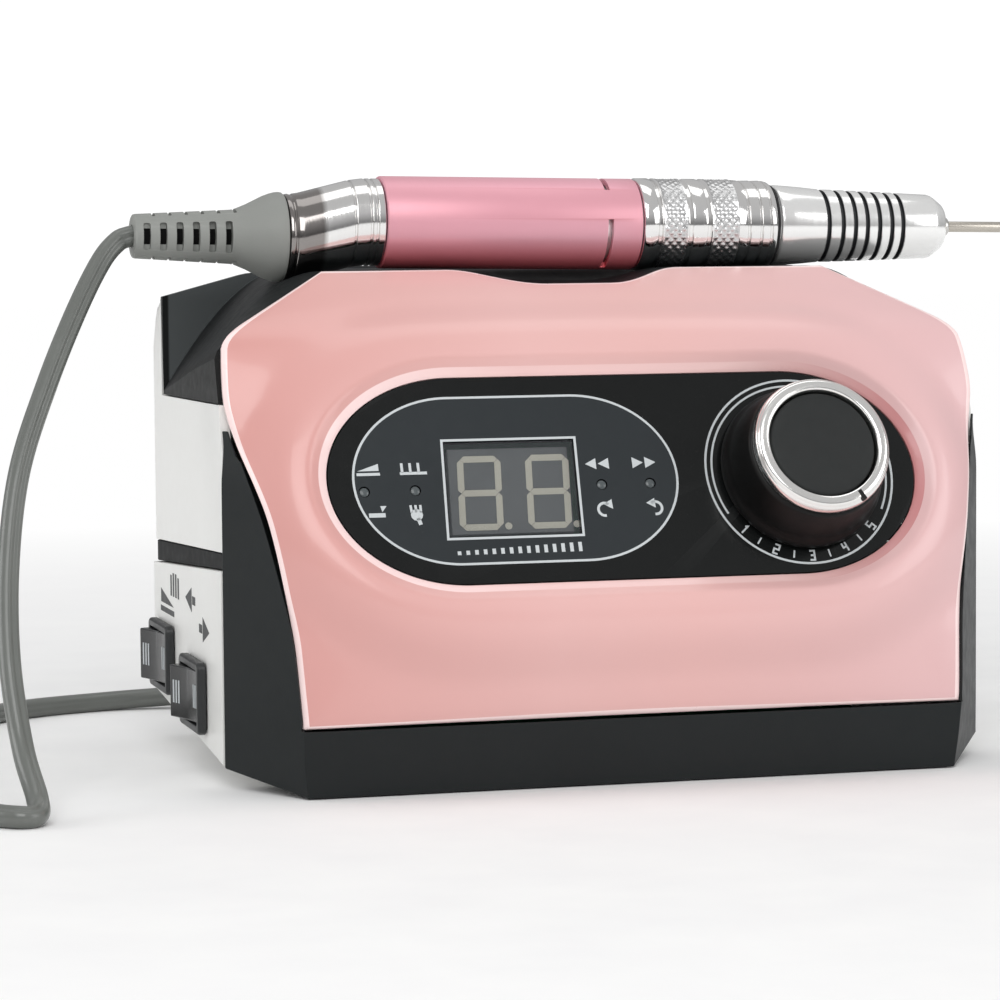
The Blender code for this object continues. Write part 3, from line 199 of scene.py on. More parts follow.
TURN = (2600.0, 30.0, 30.0)      # fine rings round a piece turned about its own X
TURNZ = (30.0, 30.0, 2600.0)
M = {
    # the two tone ramps along X paint shade on the left of the panel (darker, deeper pink) and light on its right
    # (paler pink)
    'pink': pbr('pink_gloss_painted_shading', srgb(229, 181, 177), 0.30, coat=0.22, var=0.015, var_scale=14.0, rough_var=0.008, rough_scale=40.0, grain=0.03,
                grain_scale=2600.0, wear=0.0, shade=((0, -0.018, -0.080, srgb(214, 154, 148)), (0, 0.010, 0.080, srgb(225, 185, 186)))),
    # pale pink for the rounded outer edge faces of the panel: a painted highlight along the edge
    'pink_edge_highlight': pbr('pink_edge_painted_highlight', srgb(252, 226, 224), 0.28, coat=0.3, var=0.01, rough_var=0.008, grain=0.02, wear=0.0),
    # pill rim: pale pink, lightest at the left end and darker pink towards the right end: painted highlight and painted
    # shade on the rim
    'pink_rim_painted_light': pbr('pink_rim_painted_light', srgb(252, 222, 220), 0.26, coat=0.35, var=0.01, rough_var=0.008, grain=0.02, wear=0.0,
                    shade=((0, -0.052, -0.020, srgb(240, 200, 197)), (0, 0.030, 0.062, srgb(206, 136, 137)))),
    'black': pbr('slate_black', srgb(25, 29, 30), 0.44, spec=0.26, var=0.10, grain=0.22, grain_scale=3000.0, wear=0.0),
    # tone ramps paint light and shade: near-black shade towards the crease before the rear wall, lit lighter grey on
    # the rear wall, and shade on the left end face
    'cover': pbr('cover_black_painted_shading', srgb(25, 28, 29), 0.55, spec=0.22, var=0.10, grain=0.25, grain_scale=3000.0, wear=0.0,
                 shade=((1, 0.0060, 0.0300, srgb(14, 16, 17)), (1, 0.0322, 0.0338, srgb(86, 90, 91)), (0, -0.0796, -0.0800, srgb(18, 20, 20)))),
    'white': pbr('shell_white', srgb(232, 232, 229), 0.33, var=0.015, grain=0.12, grain_scale=2600.0, wear=0.10, wear_rgb=srgb(250, 250, 248)),
    'stripe': pbr('stripe_black', srgb(15, 17, 18), 0.60, spec=0.15, var=0.08, grain=0.15, wear=0.0),
    'gloss': pbr('panel_gloss_black', srgb(13, 15, 15), 0.16, spec=0.26, coat=0.03, var=0.05, rough_var=0.03, grain=0.02, wear=0.25, dust=0.02),
    'knob': pbr('knob_satin_black', srgb(8, 8, 8), 0.40, spec=0.20, var=0.10, grain=0.18, grain_scale=2800.0, wear=0.25, wear_rgb=srgb(70, 70, 70)),
    'cap': pbr('knob_cap_satin', srgb(38, 40, 40), 0.6, spec=0.25, var=0.05, grain=0.22, grain_scale=3600.0, wear=0.15),
    'rocker': pbr('rocker_gloss_black', srgb(18, 19, 20), 0.20, var=0.08, grain=0.06, wear=0.35, wear_rgb=srgb(110, 112, 114)),
    'housing': pbr('switch_housing_black', srgb(26, 28, 29), 0.40, var=0.08, grain=0.25, wear=0.3, wear_rgb=srgb(90, 92, 94)),
    'rubber': pbr('rubber_black', srgb(30, 30, 31), 0.82, var=0.12, grain=0.6, grain_scale=1500.0, wear=0.15, dust=0.10),
    'relief': pbr('relief_grey', srgb(138, 140, 136), 0.55, var=0.06, grain=0.35, grain_scale=1800.0, wear=0.2, wear_rgb=srgb(170, 172, 168)),
    # near-black for the core inside the strain relief: painted shade
    'slot_painted_shade': pbr('relief_slot_painted_shade', srgb(10, 10, 10), 0.9, spec=0.1, var=0.1, grain=0.3),
    'cable': pbr('cable_grey', srgb(100, 103, 99), 0.34, spec=0.6, coat=0.2, var=0.07, var_scale=60.0, grain=0.25, grain_scale=1600.0, wear=0.0),
    'chrome': pbr('chrome', (0.86, 0.85, 0.84), 0.10, metal=1.0, var=0.02, rough_var=0.05, grain=0.10, streak=TURN, wear=0.2,
                  wear_rgb=(0.95, 0.95, 0.95)),
    'chrome_z': pbr('chrome_ring', (0.92, 0.91, 0.89), 0.16, metal=1.0, var=0.02, rough_var=0.05, grain=0.10, streak=TURNZ, wear=0.2,
                    wear_rgb=(0.98, 0.97, 0.95)),
    # darker tone at the rear end of the collar (x below -52 mm): a painted dark reflection
    'collar': pbr('chrome_tail_painted_reflection', (0.86, 0.85, 0.84), 0.12, metal=1.0, var=0.02, rough_var=0.05, grain=0.10, streak=TURN, wear=0.0,
                  shade=((0, -0.0520, -0.0532, (0.30, 0.28, 0.27)),)),
    'nose': pbr('nose_bright', (0.93, 0.93, 0.92), 0.16, metal=0.70, var=0.02, rough_var=0.05, grain=0.10, streak=TURN, wear=0.0),
    'groove': pbr('turned_groove_dark', srgb(58, 60, 62), 0.5, metal=0.4, var=0.1, grain=0.2, wear=0.0),
    'knurl': pbr('knurled_steel', (0.66, 0.66, 0.66), 0.30, metal=1.0, var=0.05, rough_var=0.08, grain=0.30, grain_scale=2600.0, wear=0.8,
                 wear_rgb=(0.95, 0.95, 0.95)),
    'steel': pbr('steel', (0.60, 0.59, 0.57), 0.26, metal=1.0, var=0.05, rough_var=0.08, grain=0.25, streak=TURN, wear=0.4),
    'shank': pbr('bit_steel', srgb(196, 190, 180), 0.30, metal=0.85, var=0.03, grain=0.15, streak=TURN, wear=0.2),
    # more saturated red on the underside of the barrel (local z below -3 mm): painted reflected light
    'anod': pbr('anodised_pink', srgb(220, 152, 163), 0.38, metal=0.22, shade=((2, -0.0030, -0.0085, srgb(255, 126, 136)),), var=0.03, rough_var=0.05, grain=0.14, streak=TURN, wear=0.5,
                wear_rgb=srgb(246, 196, 214)),
    'field': pbr('display_field_slate', srgb(38, 43, 46), 0.2, spec=0.4, coat=0.06, var=0.05, rough_var=0.03, grain=0.02, wear=0.0, dust=0.02),
    'print': pbr('print_silver', srgb(196, 201, 203), 0.5, metal=0.1, var=0.04, grain=0.1, wear=0.0),
    'print_dark': pbr('print_dark', srgb(44, 47, 48), 0.5, var=0.04, grain=0.1, wear=0.0),
    'plate': pbr('digit_plate', srgb(122, 125, 127), 0.5, var=0.05, grain=0.1, wear=0.0),
    'segment': pbr('digit_segment', srgb(250, 246, 228), 0.5, var=0.06, grain=0.1, wear=0.0),
    'led': pbr('led_lens', srgb(78, 84, 86), 0.22, var=0.05, grain=0.05, wear=0.2),
    'board': pbr('circuit_board', (0.02, 0.16, 0.07), 0.5, var=0.2, var_scale=300.0, grain=0.4),
    'copper': pbr('copper_winding', (0.50, 0.20, 0.08), 0.4, metal=0.6, var=0.2, var_scale=500.0, grain=0.8, grain_scale=1500.0),
    'alu': pbr('aluminium', (0.60, 0.60, 0.60), 0.40, metal=1.0, var=0.05, grain=0.3),
    'brass': pbr('brass', (0.60, 0.45, 0.18), 0.30, metal=1.0, var=0.05, grain=0.3),
    'socket': pbr('socket_black', srgb(20, 21, 22), 0.45, var=0.08, grain=0.3, wear=0.3),
}


def lens_material():
    """Smoked clear window: mostly see-through, with a thin haze and a gloss reflection."""
    m = bpy.data.materials.new('window_smoke')
    m.use_nodes = True
    nt = m.node_tree
    out = nt.nodes['Material Output']
    b = nt.nodes['Principled BSDF']
    tc = nt.nodes.new('ShaderNodeTexCoord')
    n = noise(nt, tc.outputs['Object'], 400.0, 3.0)
    nt.links.new(mixed(nt, ranged(nt, n, 0.3, 0.7, 0.0, 1.0), srgb(92, 96, 99), srgb(104, 108, 111)), b.inputs['Base Color'])
    nt.links.new(ranged(nt, n, 0.3, 0.7, 0.05, 0.12), b.inputs['Roughness'])
    bump = nt.nodes.new('ShaderNodeBump')
    bump.inputs['Strength'].default_value = 0.03
    bump.inputs['Distance'].default_value = 0.00005
    nt.links.new(n, bump.inputs['Height'])
    nt.links.new(bump.outputs['Normal'], b.inputs['Normal'])
    t = nt.nodes.new('ShaderNodeBsdfTransparent')
    t.inputs['Color'].default_value = (0.92, 0.92, 0.92, 1.0)
    mix = nt.nodes.new('ShaderNodeMixShader')
    mix.inputs['Fac'].default_value = 0.20
    nt.links.new(t.outputs['BSDF'], mix.inputs[1])
    nt.links.new(b.outputs['BSDF'], mix.inputs[2])
    nt.links.new(mix.outputs['Shader'], out.inputs['Surface'])
    return m


M['lens'] = lens_material()


# ------------------------------------------------------------------ mesh helpers
def finish(name, bm, mat, body, nodes=(), matrix=None, bevel=0.0, bevel_segs=2, bevel_angle=28.0,
           sharp=None, recalc=True, solid=0.0, mats=None):
    if recalc:
        bmesh.ops.recalc_face_normals(bm, faces=bm.faces[:])
    me = bpy.data.meshes.new(name)
    bm.to_mesh(me)
    bm.free()
    me.shade_smooth()
    if sharp is not None:
        me.set_sharp_from_angle(angle=math.radians(sharp))
    ob = bpy.data.objects.new(name, me)
    scene.collection.objects.link(ob)
    for m in (mats if mats is not None else [mat]):
        me.materials.append(m)
    if matrix is not None:
        ob.matrix_world = matrix
    if solid > 0:
        s = ob.modifiers.new('wall', 'SOLIDIFY')
        s.thickness = solid / 1000.0
        s.offset = -1.0
        s.use_even_offset = True
        s.use_quality_normals = True
    if bevel > 0:
        add_bevel(ob, bevel, bevel_segs, bevel_angle)
    if body is not None:
        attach(ob, body)
    if nodes:
        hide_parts(*nodes)
    return ob


def add_bevel(ob, width, segs=2, angle=28.0):
    b = ob.modifiers.new('edge', 'BEVEL')
    b.width = width / 1000.0
    b.segments = segs
    b.limit_method = 'ANGLE'
    b.angle_limit = math.radians(angle)
    b.harden_normals = True
    b.use_clamp_overlap = True
    return b


def tool(name, rings, matrix=None, parent_of=None):
    """Cutting body, not shown."""
    bm = bmesh.new()
    vs = [[bm.verts.new(p) for p in r] for r in rings]
    n = len(rings[0])
    for a, b in zip(vs, vs[1:]):
        for j in range(n):
            k = (j + 1) % n
            bm.faces.new((a[j], a[k], b[k], b[j]))
    bm.faces.new(vs[0])
    bm.faces.new(list(reversed(vs[-1])))
    bmesh.ops.recalc_face_normals(bm, faces=bm.faces[:])
    me = bpy.data.meshes.new(name)
    bm.to_mesh(me)
    bm.free()
    ob = bpy.data.objects.new(name, me)
    scene.collection.objects.link(ob)
    if matrix is not None:
        ob.matrix_world = matrix
    ob.hide_render = True
    ob.hide_viewport = False
    ob.display_type = 'WIRE'
    return ob


TOOLS = []


def cut_now(ob, tools, op='DIFFERENCE'):
    """Boolean cuts, applied at once so that the cutting bodies can go."""
    for t in tools:
        m = ob.modifiers.new('cut', 'BOOLEAN')
        m.operation = op
        m.object = t
        m.solver = 'EXACT'
    bpy.context.view_layer.update()
    dg = bpy.context.evaluated_depsgraph_get()
    me = bpy.data.meshes.new_from_object(ob.evaluated_get(dg), depsgraph=dg)
    ob.modifiers.clear()
    old = ob.data
    ob.data = me
    bpy.data.meshes.remove(old)
    for t in tools:
        bpy.data.objects.remove(t)
    return ob


def grid(name, pts, mat, body, nodes, cell=None, flip=False, solid=0.0, bevel=0.0, segs=2, angle=28.0, sharp=None):
    bm = bmesh.new()
    used = {}

    def vert(i, j):
        if (i, j) not in used:
            used[(i, j)] = bm.verts.new(world(pts[i][j]))
        return used[(i, j)]

    for i in range(len(pts) - 1):
        for j in range(len(pts[0]) - 1):
            if cell is not None and not cell(i, j):
                continue
            q = [vert(i, j), vert(i, j + 1), vert(i + 1, j + 1), vert(i + 1, j)]
            if flip:
                q.reverse()
            bm.faces.new(q)
    return finish(name, bm, mat, body, nodes, recalc=False, solid=solid, bevel=bevel, bevel_segs=segs,
                  bevel_angle=angle, sharp=sharp)


def rings_bm(rings, caps=True, loop=False):
    bm = bmesh.new()
    vs = [[bm.verts.new(p) for p in r] for r in rings]
    n, m = len(rings[0]), len(rings)
    for i in range(m if loop else m - 1):
        a, b = vs[i], vs[(i + 1) % m]
        for j in range(n):
            k = (j + 1) % n
            bm.faces.new((a[j], a[k], b[k], b[j]))
    if caps and not loop:
        bm.faces.new(vs[0])
        bm.faces.new(list(reversed(vs[-1])))
    return bm


def lathe_bm(prof, segs, axis='X', radius=None):
    """Turned body; profile of (position, radius) in mm. radius(s, r, angle) may vary it."""
    bm = bmesh.new()
    solid = prof[0][1] == 0.0 and prof[-1][1] == 0.0

    def pt(s, r, a):
        if radius is not None:
            r = radius(s, r, a)
        c, d = r * math.cos(a), r * math.sin(a)
        v = {'X': (s, c, d), 'Z': (c, d, s), 'Y': (d, s, c)}[axis]
        return Vector(v) / 1000.0

    rings = []
    for s, r in prof:
        if r == 0.0:
            rings.append([bm.verts.new(pt(s, 0.0, 0.0))])
        else:
            rings.append([bm.verts.new(pt(s, r, 2 * math.pi * k / segs)) for k in range(segs)])
    m = len(rings)
    for i in range(m - 1 if solid else m):
        a, b = rings[i], rings[(i + 1) % m]
        if len(a) == 1 and len(b) == 1:
            continue
        for j in range(segs):
            k = (j + 1) % segs
            if len(a) == 1:
                bm.faces.new((a[0], b[k], b[j]))
            elif len(b) == 1:
                bm.faces.new((a[j], a[k], b[0]))
            else:
                bm.faces.new((a[j], a[k], b[k], b[j]))
    return bm


def lathe(name, prof, mat, body, nodes, matrix, segs=96, axis='X', bevel=0.15, bsegs=2, radius=None, sharp=None):
    return finish(name, lathe_bm(prof, segs, axis, radius), mat, body, nodes, matrix=matrix, bevel=bevel, bevel_segs=bsegs,
                  sharp=sharp)


def smoothstep(e0, e1, x):
    t = max(0.0, min(1.0, (x - e0) / (e1 - e0)))
    return t * t * (3 - 2 * t)


def rounded(w, h, r, n=6, cx=0.0, cy=0.0):
    pts = []
    for qx, qy, a0 in ((1, 1, 0), (-1, 1, 90), (-1, -1, 180), (1, -1, 270)):
        for k in range(n + 1):
            a = math.radians(a0 + 90.0 * k / n)
            pts.append((cx + qx * (w / 2 - r) + r * math.cos(a), cy + qy * (h / 2 - r) + r * math.sin(a)))
    return pts


def circle(r, n, cx=0.0, cy=0.0):
    return [(cx + r * math.cos(2 * math.pi * k / n), cy + r * math.sin(2 * math.pi * k / n)) for k in range(n)]


def pill_pt(t, grow=0.0, half_l=PILL_HALF_L, half_h=PILL_HALF_H, end=PILL_END, ca=0.0):
    """Point of the rounded-end outline at share t of a turn, starting at the bottom of the right end."""
    s = half_l - end
    ra, rb = end + grow, half_h + grow
    t = t % 1.0
    arc, line = 0.36, 0.14
    if t < arc:
        q = -math.pi / 2 + math.pi * t / arc
        return ca + s + ra * math.cos(q), rb * math.sin(q)
    if t < arc + line:
        u = (t - arc) / line
        return ca + s - 2 * s * u, rb
    if t < 2 * arc + line:
        q = math.pi / 2 + math.pi * (t - arc - line) / arc
        return ca - s + ra * math.cos(q), rb * math.sin(q)
    u = (t - 2 * arc - line) / line
    return ca - s + 2 * s * u, -rb


def pill_ring(n, grow=0.0, **kw):
    return [pill_pt(k / n, grow, **kw) for k in range(n)]


def pill_distance(a, b):
    s = PILL_HALF_L - PILL_END
    da = max(0.0, abs(a) - s)
    k = math.hypot(da / PILL_END, b / PILL_HALF_H)
    r = math.hypot(da, b)
    return r - (r / k if k > 1e-6 else 99.0) if k > 0 else -PILL_HALF_H


def dip(x):
    a, b, c, d = DIP_X
    return smoothstep(a, b, x) * (1.0 - smoothstep(c, d, x))


def on_panel(c, a, b):
    return world(PC + PA * a + PB * b + PN * c)


def panel_matrix(a, b, c=0.0):
    m = Matrix((PA, PB, PN)).transposed().to_4x4()
    m.translation = on_panel(c, a, b)
    return m


def plane_matrix(o, along, up):
    """Local X, Y in a plane and Z out of it, at a case-frame point."""
    al, u = Vector(along), Vector(up)
    m = Matrix((al, u, al.cross(u))).transposed().to_4x4()
    m.translation = world(o)
    return m


# ------------------------------------------------------------------ front panel
ROW_VALUES = [(r[0][0], r[0][1], r[0][2], r[1][0], r[1][1]) for r in PANEL_ROWS]


def row_at(k):
    """Panel row values at a fractional row, with the kinks between rows rounded off."""
    k = max(0.0, min(float(LAST), k))
    h = min(0.42, k, LAST - k)

    def integral(x):
        i = min(int(x), LAST - 1)
        f = x - i
        base = CUM[i]
        a, b = ROW_VALUES[i], ROW_VALUES[i + 1]
        return [base[n] + a[n] * f + (b[n] - a[n]) * f * f / 2 for n in range(5)]

    if h < 1e-4:
        i = min(int(k), LAST - 1)
        f = k - i
        a, b = ROW_VALUES[i], ROW_VALUES[i + 1]
        return [a[n] + (b[n] - a[n]) * f for n in range(5)]
    hi, lo = integral(k + h), integral(k - h)
    return [(hi[n] - lo[n]) / (2 * h) for n in range(5)]


CUM = [[0.0] * 5]
for _i in range(LAST):
    CUM.append([CUM[-1][n] + 0.5 * (ROW_VALUES[_i][n] + ROW_VALUES[_i + 1][n]) for n in range(5)])


def panel_point(k, u):
    if k > 13.0:
        xe = row_at(k)[0]
        k = 13.0 + (k - 13.0) * (2.0 - 0.56 * dip(u * xe)) / 2.0
    xe, ye, ze, yc, zc = row_at(k)
    g = abs(u) ** 2.6
    p = Vector((u * xe, yc + (ye - yc) * g, zc + (ze - zc) * g))
    rel = p - PC
    a, b, c = rel.dot(PA), rel.dot(PB), rel.dot(PN)
    w = (1.0 - smoothstep(4.3, 19.0, pill_distance(a, b))) * smoothstep(0.0, 1.6, k)
    return p + PN * ((RIM_RISE - c) * w)


def find_row(a, b):
    """Fractional row and share across where the panel surface has in-plane position (a, b)."""
    lo, hi = 1.0, 14.5
    for _ in range(40):
        m = 0.5 * (lo + hi)
        u = a / row_at(m)[0]
        if (panel_point(m, u) - PC).dot(PB) < b:
            lo = m
        else:
            hi = m
    return lo, a / row_at(lo)[0]


N_RIM = 420
starts = []
for i in range(N_RIM):
    a, b = pill_pt(i / N_RIM, RIM_FLARE + 0.7)
    starts.append(find_row(a, b))
K_MID = 0.5 * (find_row(0.0, PILL_HALF_H)[0] + find_row(0.0, -PILL_HALF_H)[0])


def to_edge(k0, u0):
    """Point on the panel's outer edge seen from the middle through (k0, u0)."""
    du, dk = u0, (k0 - K_MID) / 7.0
    best = 1e9
    if abs(du) > 1e-9:
        best = min(best, 1.0 / abs(du))
    if dk > 1e-9:
        best = min(best, (LAST - K_MID) / 7.0 / dk)
    if dk < -1e-9:
        best = min(best, K_MID / 7.0 / -dk)
    return K_MID + dk * 7.0 * best, du * best


ends = [to_edge(k, u) for k, u in starts]
for ck, cu in ((0.0, -1.0), (0.0, 1.0), (float(LAST), -1.0), (float(LAST), 1.0), (13.0, -1.0), (13.0, 1.0)):
    j = min(range(N_RIM), key=lambda i: ((ends[i][0] - ck) / 7.0) ** 2 + (ends[i][1] - cu) ** 2)
    ends[j] = (ck, cu)
rings = []
for grow, c in ((0.0, -1.9), (0.0, -0.5), (0.0, 0.0), (0.18, 0.16), (0.9, 0.58), (1.8, 1.10), (2.7, 1.62), (3.2, 1.90), (3.55, 2.06), (3.9, 2.16), (4.2, 2.2)):
    rings.append([PC + PA * p[0] + PB * p[1] + PN * c for p in (pill_pt(i / N_RIM, grow) for i in range(N_RIM))])
STEPS = [0.0, 0.02, 0.05, 0.08, 0.11, 0.15, 0.19, 0.24, 0.29, 0.35, 0.41, 0.48, 0.55, 0.62, 0.69, 0.76, 0.84, 1.0]
for t in STEPS:
    ring = []
    for (k0, u0), (k1, u1) in zip(starts, ends):
        ring.append(panel_point(k0 + (k1 - k0) * t, u0 + (u1 - u0) * t))
    rings.append(ring)
# rounded outer edge
inner, outer = rings[-2], rings.pop()
turned = [[], [], [], []]
for i in range(N_RIM):
    out = (outer[i] - inner[i]).normalized()
    nrm = (outer[(i + 1) % N_RIM] - outer[i - 1]).cross(out).normalized()
    if nrm.y > 0:
        nrm = -nrm
    for k, (a, b) in enumerate(((1.45, 0.0), (0.7, 0.1), (0.2, 0.38), (0.0, 1.0))):
        turned[k].append(outer[i] - out * a - nrm * b)
rings += turned
bm = rings_bm([[world(p) for p in r] for r in rings], caps=False)
for f in bm.faces:
    f.normal_update()
# faces look out of the front
test = max(bm.faces, key=lambda f: -f.calc_center_median().y)
if test.normal.y > 0:
    bmesh.ops.reverse_faces(bm, faces=bm.faces[:])
panel = finish('front_panel_moulding', bm, M['pink'], 'case', ['front_panel'], recalc=False, solid=PANEL_T - 0.2,
               sharp=40.0, mats=[M['pink'], M['pink_edge_highlight'], M['pink_rim_painted_light']])
for p in panel.data.polygons:
    # pill rim faces: painted highlight on the left, painted shade on the right
    if p.index < N_RIM * 5:
        p.material_index = 2
    # rounded outer edge faces: painted highlight
    elif p.index >= len(panel.data.polygons) - N_RIM * 3:
        p.material_index = 1

# ------------------------------------------------------------------ front bezel
SIDE_Z = [71.6, 71.0, 70.0, 68.6, 67.0] + [67.0 - 54.0 * k / 30 for k in range(1, 31)]


def side_edge(z):
    lo, hi = 0.0, 11.5
    for _ in range(30):
        m = 0.5 * (lo + hi)
        if row_at(m)[2] < z:
            lo = m
        else:
            hi = m
    v = row_at(lo)
    return v[0], v[1]


def bezel_side(sign):
    rows = []
    for z in SIDE_Z:
        ex, ey = side_edge(z)
        rise = max(0.0, z - 60.0) / 11.6
        fx, fy = ex + 0.25, ey + 0.7
        xo, yo = HALF_W - (HALF_W - fx - 0.7) * rise ** 2.2, Y_JOIN + 0.8 * rise ** 2
        row = []
        for t in (0.0, 0.5, 1.0):
            row.append((sign * (xo + (fx - xo) * t), yo + (fy - yo) * t, z))
        row.append((sign * (fx - 1.6), fy + 3.4, z) if z > 13.5 else (sign * ex, ey, z))
        rows.append(row)
    for z, a, zr in ((6.5, (69.0, -0.65), 8.4), (0.0, (68.3, 0.0), 3.9)):
        row = []
        for t in (0.0, 0.5, 0.86, 1.0):
            row.append((sign * (HALF_W + (a[0] - HALF_W) * t), Y_JOIN + (a[1] - Y_JOIN) * t, zr + (z - zr) * t))
        rows.append(row)
    rows.append([(sign * 66.0, Y_JOIN, 0.0), (sign * 66.0, 15.0, 0.0), (sign * 65.5, 10.0, 0.0), (sign * 63.5, 8.3, 0.0)])
    return rows


left, right = bezel_side(-1), bezel_side(1)
FRONT_U = [-0.95, -0.7, -0.35, 0.0, 0.35, 0.7, 0.95]
bezel = []
for i in range(len(left)):
    edge = left[i][-1]
    bezel.append(left[i] + [(-edge[0] * u, edge[1], edge[2]) for u in FRONT_U] + list(reversed(right[i])))
N_WING = len(SIDE_Z) - 1
grid('front_bezel_moulding', bezel, M['black'], 'case', ['front_bezel'],
     cell=lambda i, j: i >= N_WING or j < 2 or j >= len(bezel[0]) - 3 or (4 < i < N_WING and j in (2, len(bezel[0]) - 4)),
     solid=0.5, bevel=0.2, segs=2, angle=24.0)


# ------------------------------------------------------------------ rear shells
def stripe_z(y):
    t = (y - Y_JOIN) / (Y_BACK - Y_JOIN)
    return 43.5 + (38.4 - 43.5) * t, 46.9 + (43.3 - 46.9) * t


def hull_z(y):
    return 3.9 + (y - 17.6) * 7.1 / 82.9


CORNER_R = 5.0
CORNER_N = 10


def perimeter(half_w, front=Y_JOIN + GAP):
    pts = [(-half_w, front), (-half_w, 36.0), (-half_w, 56.0), (-half_w, 72.0), (-half_w, Y_WALL + 2.3), (-half_w, 92.0)]
    cy, cx = Y_BACK - CORNER_R, half_w - CORNER_R
    for k in range(CORNER_N + 1):
        a = math.radians(180.0 - 90.0 * k / CORNER_N)
        pts.append((-cx + CORNER_R * math.cos(a), cy + CORNER_R * math.sin(a)))
    pts += [(x, Y_BACK) for x in (-62.0, -30.0, 0.0)]
    return pts + [(-x, y) for x, y in reversed(pts[:-1])]


def inset_plan(p, mx, my):
    return max(-mx, min(mx, p[0])), min(p[1], my)


def switch_tool(tag, point, along, up_dir):
    m = plane_matrix(point, along, up_dir)
    o = rounded(SW_BODY[0] + 0.4, SW_BODY[1] + 0.4, 0.8, 2)
    return tool('hole_' + tag, [[Vector((a, b, c)) / 1000.0 for a, b in o] for c in (-30.0, 3.0)], m)


SWITCHES = (('hand_foot', (-HALF_W - 0.6, 82.0, 19.2), (0, -1, 0), (0, 0, 1)),
            ('direction', (-HALF_W - 0.6, 46.0, 15.4), (0, -1, 0), (0, 0, 1)),
            ('power', (18.0, Y_BACK, 26.0), (-1, 0, 0), (0, 0, 1)))


def round_tool(tag, x, z, r, y0=-6.0, y1=3.0, n=48):
    rings = [[world((x + r * math.cos(2 * math.pi * k / n), Y_BACK + y, z + r * math.sin(2 * math.pi * k / n))) for k in range(n)]
             for y in (y0, y1)]
    return tool('hole_' + tag, rings)


low = perimeter(HALF_W + 0.6)
low_rows = [
    [(x, y, stripe_z(y)[0] - 0.15) for x, y in low],
    [(x, y, 0.5 * (stripe_z(y)[0] + hull_z(y))) for x, y in low],
    [(x, y, hull_z(y)) for x, y in low],
    [(*inset_plan((x, y), 66.6, 88.0), 0.0) for x, y in low],
]
lower = grid('lower_shell', low_rows, M['white'], 'case', ['lower_case'], solid=SHELL_T)
cuts = [switch_tool(*s) for s in SWITCHES]
cuts += [round_tool('hpj', -46.0, 27.0, 7.2), round_tool('pdj', -16.0, 27.0, 5.2)]
inlet_m = plane_matrix((50.0, Y_BACK, 27.0), (-1, 0, 0), (0, 0, 1))
cuts.append(tool('hole_inlet', [[Vector((a, b, c)) / 1000.0 for a, b in rounded(25.4, 17.4, 2.0)] for c in (-8.0, 4.0)], inlet_m))
cut_now(lower, cuts)
add_bevel(lower, 0.45, 3, 25.0)

band = perimeter(HALF_W - 0.3)
grid('stripe_moulding', [[(x, y, stripe_z(y)[1] - 0.15) for x, y in band], [(x, y, stripe_z(y)[0] + 0.15) for x, y in band]],
     M['stripe'], 'case', ['stripe_band'], solid=SHELL_T, bevel=0.2, segs=2, angle=30.0)

up = perimeter(HALF_W)


def cover_edge_z(y):
    return 76.7 - 0.8 * (y - 27.6) / 60.2


def wall_top(x):
    ax = abs(x)
    if ax > 62.9:
        return 97.2 + (102.0 - 97.2) * (81.1 - ax) / 18.2
    return 102.0 + 1.2 * min(1.0, (62.9 - ax) / 12.0)


up_rows = []
for lvl in (6, 5.5, 5, 4.5, 4, 3, 2, 1, 0):
    row = []
    for j, (x, y) in enumerate(up):
        zt, z1, z0 = wall_top(x), cover_edge_z(y) - 0.15, stripe_z(y)[1] + 0.15
        rear = y > Y_WALL + 2.0
        if j in (0, len(up) - 1) and lvl >= 2:
            y = 22.4
        back = smoothstep(Y_WALL, Y_BACK, y)
        p4 = (x * (1 - 0.004 * back), y - 2.2 * back, zt - 2.4 - 3.2 * back)
        p5 = (x * (1 - 0.012 * back), Y_WALL + 2.6 + (y - Y_WALL - 2.3) * 0.5, zt - 0.8 - 1.2 * back)
        p6 = (x * (1 - 0.02 * back), Y_WALL + 2.7 + (y - Y_WALL - 2.3) * 0.03, zt - 0.5)
        if lvl == 0:
            row.append((x, y, z0))
        elif lvl == 1:
            row.append((x, y, 67.0))
        elif lvl == 2:
            row.append((x, y, z1))
        elif not rear:
            row.append((x, y, z1 + 1.5 * (lvl - 2)))
        elif lvl == 3:
            row.append((x, y, 86.0))
        elif lvl == 4:
            row.append(p4)
        elif lvl == 4.5:
            row.append(tuple(0.5 * (p4[n] + p5[n]) + (0.0, 0.8 * back, 0.9 * back)[n] for n in range(3)))
        elif lvl == 5:
            row.append(p5)
        elif lvl == 5.5:
            row.append(tuple(0.5 * (p5[n] + p6[n]) for n in range(3)))
        else:
            row.append(p6)
    up_rows.append(row)
N_FRONT = 4
grid('upper_shell', up_rows, M['white'], 'case', ['upper_case'],
     cell=lambda i, j: i >= 6 or (N_FRONT <= j < len(up) - N_FRONT - 1), solid=SHELL_T, bevel=0.4, segs=3, angle=30.0)


# ------------------------------------------------------------------ cradle cover
def hp_axis_z(x):
    return HP_Z - math.tan(HP_PITCH) * x


def floor_z(x, y):
    ax = abs(x)
    zend = 86.2 + (77.6 - 86.2) * (y - 28.6) / 51.2
    t = max(0.0, min(1.0, (HALF_W - ax) / 26.1))
    z = zend + (102.9 - zend) * (1.0 - (1.0 - t) ** 1.7)
    r = BARREL_R + 0.6 + 3.0 * smoothstep(-41.5, -56.0, x)
    d = abs(y - HP_Y)
    if d < r:
        z = min(z, hp_axis_z(x) - math.sqrt(r * r - d * d))
    w = dip(x)
    if w > 0:
        z -= w * 3.6 * (1.0 - smoothstep(44.0, 66.0, y))
    return z


